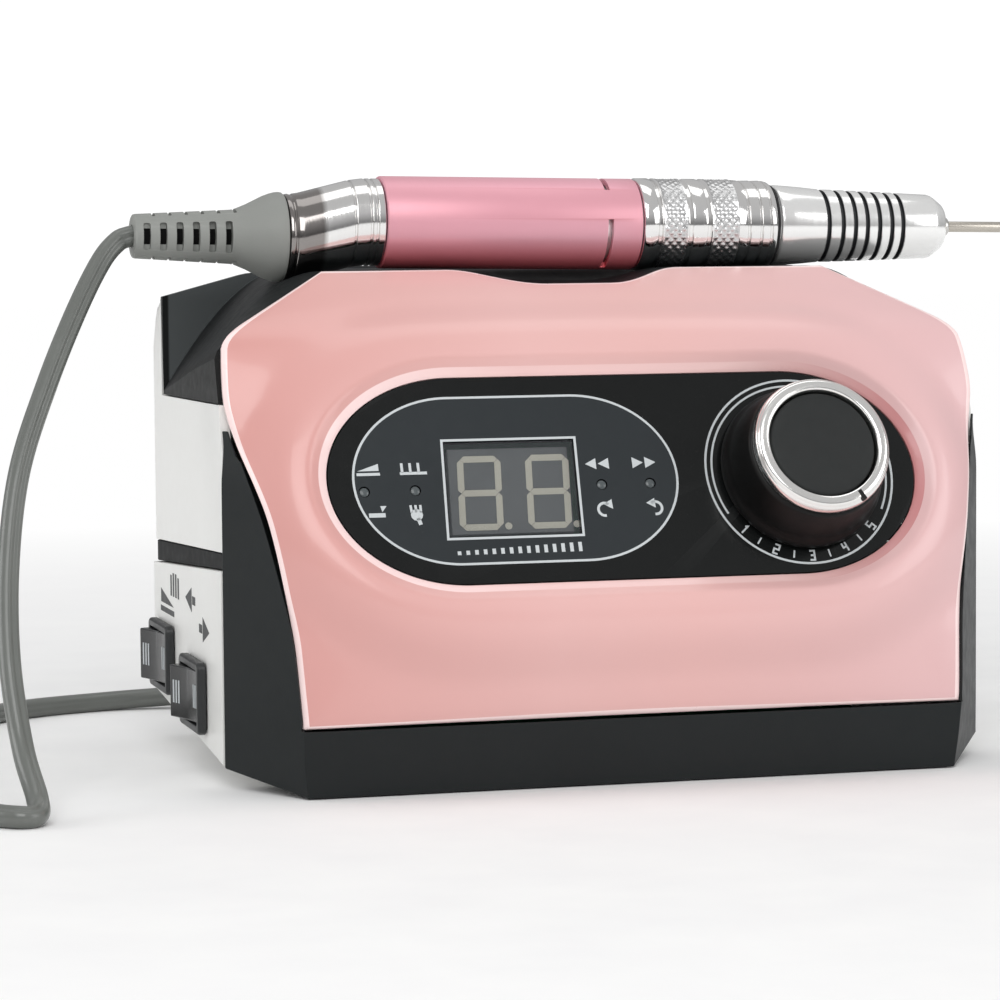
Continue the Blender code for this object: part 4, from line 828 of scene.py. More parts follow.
def panel_top(x):
    ax = abs(x)
    if ax <= 55.0:
        p = Vector((x, 42.6, 103.4))
        q = Vector((x, 30.6, 98.0))
        p = p.lerp(q, 0.56 * dip(x))
        return p.y, p.z
    if ax <= 67.4:
        t = (ax - 55.0) / 12.4
        return 42.6 - 8.4 * t, 103.4 - 6.4 * t
    t = min(1.0, (ax - 67.4) / 12.4)
    return 34.2 - 8.3 * t, 97.0 - 6.4 * t


COVER_X = [-81.1, -80.0] + [-79.0 + 158.0 * k / 104 for k in range(105)] + [80.0, 81.1]
COVER_Y = [None] + [46.4 + (57.0 - 10.6 - 46.4) * k / 1 for k in range(1)] + [57.0 - 10.6 * math.cos(math.pi * k / 24) for k in range(1, 24)] + [68.0, 72.0, 78.0, Y_WALL]
cover = []
for yk in COVER_Y:
    row = []
    for x in COVER_X:
        if abs(x) > 80.0:
            y0, z0 = 26.2, 85.8
        else:
            y0, z0 = panel_top(x)
            y0, z0 = y0 + 2.8, z0 - 1.0
        y = y0 if yk is None else max(yk, y0 + 0.3)
        z = floor_z(x, y)
        if yk is None:
            z = min(z, z0)
        row.append((x, y, z))
    y = 22.8 if yk is None else yk
    zb = cover_edge_z(y) + 0.15
    cover.append([(-HALF_W, y, zb)] + row + [(HALF_W, y, zb)])
cover.append([(-HALF_W, Y_WALL, 76.5)] + [(x, Y_WALL, max(wall_top(x), floor_z(x, Y_WALL) + 0.5)) for x in COVER_X] + [(HALF_W, Y_WALL, 76.5)])
NC = len(cover[0])
NR = len(COVER_Y) - 1
grid('cradle_moulding', cover, M['cover'], 'case', ['cradle_cover'],
     cell=lambda i, j: i < NR or 0 < j < NC - 2, solid=SHELL_T, bevel=0.5, segs=3, angle=32.0)

# ------------------------------------------------------------------ base
PLATE_M = plane_matrix((0.0, CASE_Y_CENTRE, 0.0), (1, 0, 0), (0, 1, 0))
mat_rings = [[Vector((a, b, c)) / 1000.0 for a, b in rounded(104.0 - 2 * ins, 70.0 - 2 * ins, 6.0 - ins, 8)]
             for c, ins in ((0.5, 0.0), (-0.5, 0.0), (-0.8, 0.3))]
bm = rings_bm(mat_rings)
base_mat = finish('base_mat_rubber', bm, M['rubber'], 'case', ['base_mat'], matrix=PLATE_M, sharp=30.0)
grooves = []
for k in range(-5, 6):
    o = rounded(96.0, 1.6, 0.75, 4, 0.0, k * 5.8)
    grooves.append(tool('mat_groove', [[Vector((a, b, c)) / 1000.0 for a, b in o] for c in (-2.0, -0.35)], PLATE_M))
cut_now(base_mat, grooves)
base_mat.data.shade_smooth()
base_mat.data.set_sharp_from_angle(angle=math.radians(30))

# ------------------------------------------------------------------ control panel
PANEL_M = panel_matrix(0.0, 0.0)


def panel_prism(outline, c0, c1):
    return [[Vector((a, b, c)) / 1000.0 for a, b in outline] for c in (c0, c1)]


disp = finish('display_panel_face', rings_bm(panel_prism(pill_ring(260, -GAP), -1.6, 0.0)), M['gloss'], 'case', ['display_panel'],
              matrix=PANEL_M)
cuts = [tool('window_cut', panel_prism(WINDOW, -3.0, 1.0), PANEL_M), tool('pot_cut', panel_prism(circle(4.6, 40, KNOB_A, 0.0), -3.0, 1.0), PANEL_M)]
for nm, a, b in LEDS:
    cuts.append(tool(nm + '_cut', panel_prism(circle(1.15, 32, a, b), -3.0, 1.0), PANEL_M))
cut_now(disp, cuts)
add_bevel(disp, 0.22, 2, 30.0)

wx = sum(p[0] for p in WINDOW) / 4
wy = sum(p[1] for p in WINDOW) / 4
lens_o = [(a + (0.12 if a < wx else -0.12), b + (0.12 if b < wy else -0.12)) for a, b in WINDOW]
finish('window_lens', rings_bm(panel_prism(lens_o, -0.9, -0.1)), M['lens'], 'case', ['display_window'],
       matrix=PANEL_M, bevel=0.12)


class Flat:
    """Collects thin raised shapes on a plane: polygons and lines of constant width."""

    def __init__(self):
        self.bm = bmesh.new()

    def poly(self, pts, c0=0.0, c1=0.06):
        lo = [self.bm.verts.new(Vector((a, b, c0)) / 1000.0) for a, b in pts]
        hi = [self.bm.verts.new(Vector((a, b, c1)) / 1000.0) for a, b in pts]
        n = len(pts)
        self.bm.faces.new(hi)
        self.bm.faces.new(list(reversed(lo)))
        for k in range(n):
            q = (k + 1) % n
            self.bm.faces.new((lo[k], lo[q], hi[q], hi[k]))

    def line(self, pts, w, closed=False, c0=0.0, c1=0.06):
        n = len(pts)
        P = [Vector(p) for p in pts]
        sides = []
        for i in range(n):
            a = P[(i - 1) % n] if (closed or i > 0) else P[i]
            b = P[(i + 1) % n] if (closed or i < n - 1) else P[i]
            d1 = (P[i] - a).normalized() if (P[i] - a).length > 1e-9 else (b - P[i]).normalized()
            d2 = (b - P[i]).normalized() if (b - P[i]).length > 1e-9 else d1
            t = (d1 + d2).normalized()
            nrm = Vector((-t.y, t.x))
            k = 1.0 / max(0.35, nrm.dot(Vector((-d2.y, d2.x))))
            sides.append((P[i] + nrm * (w / 2 * k), P[i] - nrm * (w / 2 * k)))
        rows = []
        for s1, s2 in sides:
            rows.append([self.bm.verts.new(Vector((q[0], q[1], c)) / 1000.0) for q, c in ((s1, c0), (s1, c1), (s2, c1), (s2, c0))])
        m = n if closed else n - 1
        for i in range(m):
            a, b = rows[i], rows[(i + 1) % n]
            for k in range(4):
                q = (k + 1) % 4
                self.bm.faces.new((a[k], a[q], b[q], b[k]))
        if not closed:
            self.bm.faces.new(list(reversed(rows[0])))
            self.bm.faces.new(rows[-1])

    def arc(self, ca, cb, r, a0, a1, w, n=24):
        self.line([(ca + r * math.cos(math.radians(a0 + (a1 - a0) * k / n)), cb + r * math.sin(math.radians(a0 + (a1 - a0) * k / n)))
                   for k in range(n + 1)], w)

    def ring(self, ca, cb, r, w, n=96):
        self.line([(ca + r * math.cos(2 * math.pi * k / n), cb + r * math.sin(2 * math.pi * k / n)) for k in range(n)], w, True)


STROKES = {
    '0': [[(0, 0), (1, 0), (1, 2), (0, 2), (0, 0)]],
    '1': [[(0.2, 1.6), (0.6, 2), (0.6, 0)]],
    '2': [[(0, 2), (1, 2), (1, 1), (0, 1), (0, 0), (1, 0)]],
    '3': [[(0, 2), (1, 2), (1, 0), (0, 0)], [(0.2, 1), (1, 1)]],
    '4': [[(0, 2), (0, 1), (1, 1)], [(0.8, 2), (0.8, 0)]],
    '5': [[(1, 2), (0, 2), (0, 1), (1, 1), (1, 0), (0, 0)]],
}


def numeral(flat, ch, ca, cb, h, turn, w):
    """Dial number centred at (ca, cb), of height h, turned by an angle."""
    s = h / 2.0
    c, d = math.cos(turn), math.sin(turn)
    for path in STROKES[ch]:
        pts = []
        for x, y in path:
            px, py = (x - 0.5) * s, (y - 1.0) * s
            pts.append((ca + px * c - py * d, cb + px * d + py * c))
        flat.line(pts, w)


fd = Flat()
fd.poly([pill_pt(k / 160, 0.0, 33.7, 17.7, 21.0, -23.15) for k in range(160)], 0.0, 0.035)
field = finish('display_field', fd.bm, M['field'], 'case', matrix=PANEL_M, sharp=30.0)
cuts = [tool('field_window', panel_prism(WINDOW, -3.0, 1.0), PANEL_M)]
for nm, a, b in LEDS:
    cuts.append(tool(nm + '_field', panel_prism(circle(1.15, 32, a, b), -3.0, 1.0), PANEL_M))
cut_now(field, cuts)

pr = Flat()
# outline of the display field and of the window
pr.line([pill_pt(k / 160, 0.0, 33.85, 17.85, 21.0, -23.15) for k in range(160)], 0.48, True)
pr.line([(-38.95, -12.45), (-10.75, -12.45), (-10.0, 8.65), (-37.95, 8.65)], 0.5, True)
# pedal and grip marks, with their symbols below the lamps
pr.poly([(-56.2, 1.5), (-51.4, 1.5), (-51.4, 2.1), (-56.2, 2.1)])
pr.poly([(-56.0, 2.5), (-51.6, 4.0), (-51.6, 2.5)])
for k in range(3):
    pr.line([(-46.8 + 1.7 * k, 2.0), (-46.8 + 1.7 * k, 4.0)], 0.55)
pr.poly([(-47.3, 1.5), (-41.7, 1.5), (-41.7, 2.1), (-47.3, 2.1)])
pr.poly([(-54.6, -7.4), (-51.2, -7.4), (-51.2, -6.5), (-54.6, -6.5)])
pr.poly([(-51.8, -6.3), (-50.8, -5.0), (-52.1, -5.0)])
pr.poly([(-45.4 + 1.25 * math.cos(t * math.pi / 6) + 0.6, -7.1 + 1.25 * math.sin(t * math.pi / 6)) for t in range(12)])
for k in range(3):
    pr.line([(-45.8 + 0.95 * k, -6.6), (-45.9 + 1.0 * k, -5.0)], 0.5)
pr.line([(-44.6, -7.8), (-44.2, -9.2)], 0.8)
# direction marks: double arrows, with turning arrows below the lamps
for ca, sg in ((-5.8, -1), (4.1, 1)):
    for q in (-1.5, 1.2):
        pr.poly([(ca + q - sg * 1.1, 1.6), (ca + q + sg * 1.2, 2.8), (ca + q - sg * 1.1, 4.0)])
for ca, sg in ((-5.6, 1), (5.2, -1)):
    pr.arc(ca, -7.1, 1.35, 90 - sg * 40, 90 + sg * 190, 0.55, 16)
    ang = math.radians(90 - sg * 40)
    ex, ey = ca + 1.35 * math.cos(ang), -7.1 + 1.35 * math.sin(ang)
    pr.poly([(ex - 1.0, ey + 0.1), (ex + 0.8, ey + 1.1), (ex + 0.9, ey - 1.0)])
# bar scale below the window
for k in range(15):
    pr.line([(-37.0 + 1.8 * k, -15.9), (-37.0 + 1.8 * k, -15.1 + 0.085 * k)], 0.75)
# dial: double ring, ticks and numbers
pr.ring(KNOB_A, 0.0, 20.15, 0.45)
pr.arc(KNOB_A, 0.0, 18.85, -28.0, 208.0, 0.42, 90)
for k in range(9):
    ang = math.radians(222.0 + 96.0 * k / 8)
    ca, cb = KNOB_A + math.cos(ang) * 18.45, math.sin(ang) * 18.45
    if k % 2 == 0:
        numeral(pr, '12345'[k // 2], ca, cb, 2.0, ang + math.pi / 2, 0.38)
    else:
        e = 0.8
        pr.line([(KNOB_A + math.cos(ang) * (18.45 - e), math.sin(ang) * (18.45 - e)),
                 (KNOB_A + math.cos(ang) * (18.45 + e), math.sin(ang) * (18.45 + e))], 0.34)
finish('panel_print', pr.bm, M['print'], 'case', matrix=PANEL_M, sharp=30.0)

# digits behind the window
plate_o = [(a + (1.0 if a < wx else -1.0), b + (1.0 if b < wy else -1.0)) for a, b in WINDOW]
finish('digit_plate', rings_bm(panel_prism(plate_o, -6.5, -1.5)), M['plate'], 'case', ['digit_display'],
       matrix=PANEL_M, bevel=0.15)
dg_ = Flat()
SL = 1.5 / 21.1


def seg(x0, y0, x1, y1, w, slant_x, slant_y):
    """One bar of a digit, with pointed ends, in the sloped frame."""
    d = Vector((x1 - x0, y1 - y0))
    L = d.length
    d.normalize()
    nrm = Vector((-d.y, d.x))
    P = [Vector((x0, y0)), Vector((x0, y0)) + d * (w / 2) + nrm * (w / 2), Vector((x1, y1)) - d * (w / 2) + nrm * (w / 2),
         Vector((x1, y1)), Vector((x1, y1)) - d * (w / 2) - nrm * (w / 2), Vector((x0, y0)) + d * (w / 2) - nrm * (w / 2)]
    dg_.poly([(slant_x + p.x + SL * p.y, slant_y + p.y) for p in P], -1.5, -1.42)


for bx in (-35.2, -20.9):
    w, h, t, g = 7.8, 14.6, 1.35, 0.05
    x0, x1, ym, by = 0.0, w, h / 2, -9.6
    seg(x0 + g, 0, x1 - g, 0, t, bx, by)
    seg(x0 + g, ym, x1 - g, ym, t, bx, by)
    seg(x0 + g, h, x1 - g, h, t, bx, by)
    for xx in (x0, x1):
        seg(xx, g, xx, ym - g, t, bx, by)
        seg(xx, ym + g, xx, h - g, t, bx, by)
    dg_.poly([(bx + w + 1.7 + 0.75 * math.cos(q * math.pi / 8), by + 0.1 + 0.75 * math.sin(q * math.pi / 8)) for q in range(16)], -1.5, -1.42)
finish('digit_segments', dg_.bm, M['segment'], 'case', matrix=PANEL_M, sharp=30.0)

for nm, a, b in LEDS:
    prof = [(-7.8, 0.0), (-7.8, 1.3), (-2.2, 1.3), (-2.2, 1.0), (-0.35, 1.0), (-0.18, 0.93), (-0.06, 0.7), (-0.01, 0.35), (0.0, 0.0)]
    lathe(nm + '_lens', prof, M['led'], 'case', [nm], panel_matrix(a, b), 32, 'Z', 0.0, sharp=30.0)

# ------------------------------------------------------------------ speed knob
KM = panel_matrix(KNOB_A, 0.0)
prof = [(12.5, 0.0), (12.5, 3.15), (3.2, 3.15), (3.2, 8.5), (0.8, 8.5), (0.8, 16.8), (1.0, 17.15), (1.5, 17.3), (2.3, 17.2), (3.0, 16.9),
        (3.8, 16.45), (5.0, 16.2), (12.2, 14.9), (12.8, 14.7), (13.05, 14.4), (13.05, 0.0)]
lathe('knob_grip', prof, M['knob'], 'knob', ['knob_body'], KM, 144, 'Z', 0.0, sharp=40.0)
prof = [(13.3, 11.45), (13.3, 14.1), (13.5, 14.34), (14.2, 14.42), (15.0, 14.28), (15.5, 14.1), (15.62, 14.0), (15.66, 13.86), (15.78, 13.8),
        (16.0, 13.72), (16.3, 13.45), (16.42, 13.1), (16.42, 12.15), (16.3, 11.7), (16.0, 11.48)]
lathe('knob_chrome_ring', prof, M['chrome_z'], 'knob', ['knob_ring'], KM, 144, 'Z', 0.0, sharp=50.0)
prof = [(13.3, 0.0), (13.3, 11.05), (15.1, 11.05), (15.45, 10.85), (15.6, 10.5), (15.7, 8.0), (15.78, 4.0), (15.8, 0.0)]
lathe('knob_face', prof, M['cap'], 'knob', ['knob_cap'], KM, 128, 'Z', 0.0, sharp=40.0)
pt = Flat()
ang = math.radians(-61.0)
ca, sa = math.cos(ang), math.sin(ang)
pt.poly([(ca * r - sa * w, sa * r + ca * w) for r, w in ((12.0, -0.45), (14.3, -0.45), (14.3, 0.45), (12.0, 0.45))], 15.4, 16.5)
finish('knob_pointer', pt.bm, M['knob'], 'knob', matrix=KM, bevel=0.1)


# ------------------------------------------------------------------ rocker switches
def bars(flat, marks, c1):
    for kind, v in marks:
        if kind == 'bar':
            flat.line(v, 0.5, c0=0.0, c1=c1)
        elif kind == 'ring':
            flat.ring(v[0], v[1], v[2], 0.42, 24)


ROCK_H, ROCK_RISE = 2.2, 0.8
for tag, point, along, up_dir in SWITCHES:
    m = plane_matrix(point, along, up_dir)
    body = finish('switch_frame_' + tag, rings_bm([[Vector((a, b, c)) / 1000.0 for a, b in rounded(SW_BODY[0], SW_BODY[1], 0.6, 3)]
                                                   for c in (-SW_BODY[2], 1.0)]), M['housing'], 'case', ['switch_housing_' + tag], matrix=m)
    rim = tool('rim_' + tag, [[Vector((a, b, c)) / 1000.0 for a, b in rounded(SW_BEZEL[0] - 2 * i, SW_BEZEL[1] - 2 * i, 1.6 - i, 6)]
                              for c, i in ((GAP, 0.0), (GAP + 1.2, 0.0), (GAP + 1.6, 0.15), (GAP + SW_BEZEL[2], 0.5))], m)
    cut_now(body, [rim], 'UNION')
    pocket = tool('pocket_' + tag, [[Vector((a, b, c)) / 1000.0 for a, b in rounded(SW_POCKET[0], SW_POCKET[1], 0.5, 3)]
                                    for c in (GAP + SW_BEZEL[2] - SW_POCKET[2], 6.0)], m)
    cut_now(body, [pocket])
    add_bevel(body, 0.18, 2, 30.0)
    pivot = Vector(point) + Vector(along).cross(Vector(up_dir)) * (GAP + SW_BEZEL[2] - 2.0)
    rm = plane_matrix(pivot, along, up_dir) @ Matrix.Rotation(ROCKER_TILT, 4, 'Y')
    top = []
    for k in range(25):
        x = -7.7 + 15.4 * k / 24
        top.append((x, ROCK_H + ROCK_RISE * (abs(x) / 7.7) ** 1.6))
    prof = top + [(8.0, 2.4), (8.0, 1.5), (7.6, -2.0), (5.2, -4.6), (-5.2, -4.6), (-7.6, -2.0), (-8.0, 1.5), (-8.0, 2.4)]
    rk = finish('rocker_key_' + tag, rings_bm([[Vector((a, w, h)) / 1000.0 for a, h in prof] for w in (-5.5, 5.5)]), M['rocker'],
                {'hand_foot': 'hand_foot_rocker', 'direction': 'direction_rocker', 'power': 'power_rocker'}[tag],
                ['rocker_' + tag], matrix=rm, bevel=0.3, bevel_segs=3, bevel_angle=30.0)
    marks = Flat()
    if tag == 'power':
        marks.line([(-4.6, -1.6), (-4.6, 1.6)], 0.5)
        marks.ring(4.6, 0.0, 1.3, 0.45, 28)
    else:
        for k in (-1, 0, 1):
            marks.line([(-5.0 + 1.1 * k, -2.4), (-5.0 + 1.1 * k, 2.4)], 0.42)
            marks.line([(5.0 + 1.1 * k, -2.4), (5.0 + 1.1 * k, 2.4)], 0.42)
    for v in marks.bm.verts:
        x = v.co.x * 1000.0
        v.co.z += (ROCK_H + ROCK_RISE * (abs(x) / 7.7) ** 1.6) / 1000.0 - 0.00002 + (0.00010 if v.co.z > 0.00003 else 0.0)
    finish('rocker_marks_' + tag, marks.bm, M['print'], {'hand_foot': 'hand_foot_rocker', 'direction': 'direction_rocker', 'power': 'power_rocker'}[tag],
           matrix=rm, sharp=30.0)

# printed signs on the side wall above the two side switches
sg = Flat()


def side_sign(y, z, kind):
    """Small plain sign; local X runs forward along the wall, local Y up."""
    a, b = -(y - CASE_Y_CENTRE), z
    if kind == 'pedal':
        sg.poly([(a - 8.0, b - 2.4), (a + 8.0, b - 2.4), (a + 8.0, b - 1.2), (a - 8.0, b - 1.2)], 0.0, 0.05)
        sg.poly([(a - 7.4, b + 2.6), (a - 7.4, b - 0.4), (a + 7.4, b - 0.4)], 0.0, 0.05)
    elif kind == 'grip':
        for k in range(4):
            sg.line([(a - 4.2 + 2.8 * k, b - 2.6), (a - 4.2 + 2.8 * k, b + 2.8 - 0.6 * abs(k - 1.5))], 1.5, c1=0.05)
    elif kind == 'left':
        sg.poly([(a - 5.5, b), (a + 1.5, b + 2.6), (a + 1.5, b - 2.6)], 0.0, 0.05)
        sg.poly([(a + 2.2, b - 0.9), (a + 5.5, b - 0.9), (a + 5.5, b + 0.9), (a + 2.2, b + 0.9)], 0.0, 0.05)
    elif kind == 'right':
        sg.poly([(a + 5.5, b), (a - 1.5, b - 2.6), (a - 1.5, b + 2.6)], 0.0, 0.05)
        sg.poly([(a - 5.5, b - 0.9), (a - 2.2, b - 0.9), (a - 2.2, b + 0.9), (a - 5.5, b + 0.9)], 0.0, 0.05)


side_sign(71.0, 35.6, 'grip')
side_sign(80.0, 31.0, 'pedal')
side_sign(53.0, 34.4, 'left')
side_sign(38.0, 29.4, 'right')
finish('side_wall_signs', sg.bm, M['print_dark'], 'case', matrix=plane_matrix((-HALF_W - 0.6, CASE_Y_CENTRE, 0.0), (0, -1, 0), (0, 0, 1)),
       sharp=30.0)


# ------------------------------------------------------------------ rear sockets
def rear_matrix(x, z):
    m = Matrix((Vector((1, 0, 0)), Vector((0, 0, -1)), Vector((0, 1, 0)))).transposed().to_4x4()
    m.translation = world((x, Y_BACK, z))
    return m


HPJ_X, HPJ_Z, PEDAL_X, PEDAL_Z = -46.0, 27.0, -16.0, 27.0
HJ = rear_matrix(HPJ_X, HPJ_Z)
lathe('handpiece_socket', [(-13.0, 0.0), (-13.0, 6.9), (0.3, 6.9), (0.3, 8.6), (1.2, 8.6), (1.8, 8.0), (1.8, 5.3), (1.5, 5.0), (-9.0, 5.0), (-9.0, 0.0)],
      M['chrome_z'], 'case', ['handpiece_jack'], HJ, 64, 'Z', 0.12)
lathe('pedal_socket', [(-13.0, 0.0), (-13.0, 4.9), (0.3, 4.9), (0.3, 6.2), (1.1, 6.2), (1.6, 5.7), (1.6, 3.5), (1.3, 3.2), (-10.0, 3.2), (-10.0, 0.0)],
      M['socket'], 'case', ['pedal_jack'], rear_matrix(PEDAL_X, PEDAL_Z), 48, 'Z', 0.12)
inlet = finish('mains_inlet', rings_bm([[Vector((a, b, c)) / 1000.0 for a, b in rounded(25.0, 17.0, 1.8, 4)] for c in (-16.0, 1.0)]),
               M['socket'], 'case', ['power_inlet'], matrix=inlet_m)
fl = tool('inlet_flange', [[Vector((a, b, c)) / 1000.0 for a, b in rounded(29.0 - 2 * i, 21.0 - 2 * i, 2.4 - i, 6)]
                           for c, i in ((0.3, 0.0), (1.4, 0.0), (1.8, 0.35))], inlet_m)
cut_now(inlet, [fl], 'UNION')
mouth = tool('inlet_mouth', [[Vector((a, b, c)) / 1000.0 for a, b in rounded(19.0, 10.6, 3.0, 6)] for c in (-12.0, 4.0)], inlet_m)
cut_now(inlet, [mouth])
add_bevel(inlet, 0.2, 2, 30.0)
pins = Flat()
for px in (-4.4, 4.4):
    pins.poly([(px + a, b) for a, b in circle(1.2, 20)], -11.9, -3.0)
finish('mains_inlet_pins', pins.bm, M['brass'], 'case', matrix=inlet_m, bevel=0.3)

# ------------------------------------------------------------------ handpiece
HP = Matrix.Translation(world((0.0, HP_Y, HP_Z))) @ Matrix.Rotation(HP_PITCH, 4, 'Y')

barrel = finish('barrel_shell', lathe_bm([(-39.4, 8.6), (-39.4, 9.55), (-39.3, 9.7), (-39.1, BARREL_R), (16.4, BARREL_R), (16.65, 9.68), (16.8, 9.4), (16.8, 8.6)], 144),
                M['anod'], 'handpiece', ['barrel'], matrix=HP)
vents = []
for k in range(3):
    a0 = math.radians(-72.0 + 120.0 * k)
    rr = []
    for s in (8.9, 10.1):
        ring = []
        for m in range(17):
            a = a0 + math.radians(78.0) * m / 16
            ring.append(Vector((s, -11.0 * math.cos(a), 11.0 * math.sin(a))) / 1000.0)
        for m in range(16, -1, -1):
            a = a0 + math.radians(78.0) * m / 16
            ring.append(Vector((s, -7.8 * math.cos(a), 7.8 * math.sin(a))) / 1000.0)
        rr.append(ring)
    vents.append(tool('vent_cut', rr, HP))
cut_now(barrel, vents)
barrel.data.shade_smooth()
barrel.data.set_sharp_from_angle(angle=math.radians(35))

TAIL_DROP = 3.3


def drop_tail(ob, k0=-42.5, k1=-59.0):
    """The tail of the grip swings down a little behind the barrel."""
    for v in ob.data.vertices:
        v.co.z -= TAIL_DROP / 1000.0 * smoothstep(k0, k1, v.co.x * 1000.0)
    ob.data.update()


tail = [(-60.1, 4.0), (-60.1, 8.7), (-60.0, 8.95), (-59.7, 9.1), (-59.3, 9.15), (-59.0, 9.05), (-58.85, 8.85), (-58.55, 8.85), (-58.4, 9.05), (-58.1, 9.2), (-57.0, 9.25)]
for g in (-46.1, -42.7, -41.4):
    tail += [(g - 0.38, 9.25), (g - 0.24, 9.1), (g - 0.16, 8.85), (g + 0.16, 8.85), (g + 0.24, 9.1), (g + 0.38, 9.25)]
tail += [(-39.85, 9.25), (-39.7, 9.1), (-39.7, 8.0), (-57.0, 7.4), (-57.0, 4.0)]
drop_tail(lathe('tail_collar_turned', tail, M['collar'], 'handpiece', ['tail_collar'], HP, 128, 'X', 0.0, sharp=38.0))

relief_prof = [(-92.2, 2.4), (-92.2, 4.2), (-92.0, 4.55), (-91.6, 4.65), (-71.4, 5.7), (-70.2, 6.0), (-68.0, 6.9), (-64.6, 8.6), (-63.0, 9.2), (-62.0, 9.45), (-61.2, 9.52), (-60.7, 9.45),
               (-60.4, 9.2), (-60.4, 4.0), (-63.0, 4.0), (-64.0, 2.4)]
relief = finish('relief_boot', lathe_bm(relief_prof, 72), M['relief'], 'handpiece', ['strain_relief'], matrix=HP)
cuts = []
for k in range(6):
    s = -89.7 + 3.44 * k
    for sgn in (-1, 1):
        o = rounded(1.5, 5.6 + 0.2 * k, 0.45, 4, s, 0.0)
        cuts.append(tool('relief_cut', [[Vector((a, sgn * d, b)) / 1000.0 for a, b in o] for d in (3.3, 9.0)], HP))
    for sgn in (-1, 1):
        o = rounded(0.7, 9.0, 0.3, 3, s + 1.72, 0.0)
        r0 = 4.6 + 0.05 * (s + 92)
        cuts.append(tool('relief_notch', [[Vector((a, b, sgn * d)) / 1000.0 for a, b in o] for d in (r0 - 0.5, 9.0)], HP))
cut_now(relief, cuts)
drop_tail(relief)
add_bevel(relief, 0.16, 2, 32.0)
# near-black core seen through the slots: painted shade inside the boot
drop_tail(lathe('relief_core_painted_shade', [(-91.0, 2.3), (-91.0, 3.7), (-66.6, 3.7), (-66.6, 2.3)], M['slot_painted_shade'], 'handpiece', (), HP, 32, 'X', 0.1))

KN = ((21.3, 27.0), (32.3, 38.6))
NK = 34


def knurl(s, r, a):
    for s0, s1 in KN:
        if s0 + 0.25 < s < s1 - 0.25 and r > 9.8:
            fade = min(1.0, (s - s0 - 0.25) / 0.4, (s1 - 0.25 - s) / 0.4)
            p = 2 * math.pi * 9.95 / NK
            u = NK * a / (2 * math.pi) + (s - s0) / p
            v = NK * a / (2 * math.pi) - (s - s0) / p
            tri = min(abs(2 * (u % 1.0) - 1), abs(2 * (v % 1.0) - 1))
            return r - 0.34 * (1.0 - tri) * fade
    return r


sleeve = [(17.1, 8.5), (17.1, 9.6), (17.25, 9.82), (17.5, 9.95), (20.1, 9.95), (20.3, 9.8), (20.5, 9.4), (21.1, 9.4), (21.2, 9.75), (21.35, 9.95)]
sleeve += [(21.55 + 0.29 * k, 9.95) for k in range(19)]
sleeve += [(27.0, 9.95), (27.15, 9.7), (27.3, 9.5), (27.9, 9.5), (28.05, 9.7), (28.2, 9.85), (28.5, 9.92), (30.9, 9.92), (31.2, 9.85), (31.35, 9.6), (31.45, 9.5), (32.0, 9.5),
           (32.15, 9.7), (32.35, 9.95)]
sleeve += [(32.6 + 0.29 * k, 9.95) for k in range(20)]
sleeve += [(38.45, 9.95), (38.75, 9.78)]
for g in (40.9, 43.7, 46.0):
    sleeve += [(g - 0.4, 9.7), (g - 0.25, 9.55), (g - 0.18, 9.28), (g + 0.18, 9.28), (g + 0.25, 9.5), (g + 0.4, 9.65)]
sleeve += [(47.1, 9.45), (47.35, 9.3), (47.5, 9.1), (47.5, 8.5)]
sl = lathe('twist_sleeve_knurled', sleeve, M['chrome'], 'chuck_sleeve', ['twist_sleeve'], HP, 204, 'X', 0.0, radius=knurl, sharp=42.0)
sl.data.materials.append(M['knurl'])
for p in sl.data.polygons:
    c = p.center.x * 1000.0
    if any(s0 + 0.2 < c < s1 - 0.2 for s0, s1 in KN) and math.hypot(p.center.y, p.center.z) > 0.0092:
        p.material_index = 1
lathe('sleeve_seal_ring', [(47.8, 8.45), (47.8, 8.75), (47.9, 8.82), (48.2, 8.82), (48.3, 8.75), (48.3, 8.45)], M['rubber'], 'chuck_sleeve', ['sleeve_seal'],
      HP, 96, 'X', 0.0, sharp=50.0)

nose = [(9.0, 7.3), (9.0, 8.15), (48.6, 8.15), (48.75, 8.5), (49.0, 8.72), (49.3, 8.78), (52.0, 8.62), (55.5, 8.35), (58.6, 8.05)]
for k, g in enumerate((59.2, 62.5, 65.4, 68.2, 71.1, 74.0, 76.6)):
    r = 8.0 - 0.1 * k
    nose += [(g + 0.05, r), (g + 0.17, r - 0.12), (g + 0.27, r - 1.0), (g + 1.03, r - 1.0), (g + 1.13, r - 0.2), (g + 1.27, r - 0.08)]
nose += [(85.0, 7.02), (85.6, 6.85), (86.2, 6.5), (87.6, 5.45), (88.0, 5.15), (88.3, 4.8), (88.4, 4.5), (88.4, 3.5), (86.2, 3.5), (86.2, 5.85), (52.0, 5.85), (50.0, 7.3)]
nz = lathe('nose_cone_finned', nose, M['nose'], 'handpiece', ['nose_housing'], HP, 128, 'X', 0.0, sharp=38.0)
nz.data.materials.append(M['groove'])
for p in nz.data.polygons:
    c, rr = p.center.x * 1000.0, math.hypot(p.center.y, p.center.z) * 1000.0
    if 59.0 < c < 78.3 and 6.1 < rr < 8.0 - 0.1 * (c - 59.2) / 2.9 - 0.45:
        p.material_index = 1
lathe('collet_tip', [(69.6, 1.32), (69.6, 2.05), (89.6, 2.05), (90.1, 1.9), (90.3, 1.65), (90.3, 1.32)], M['steel'], 'chuck', ['collet'], HP, 48, 'X', 0.0, sharp=40.0)
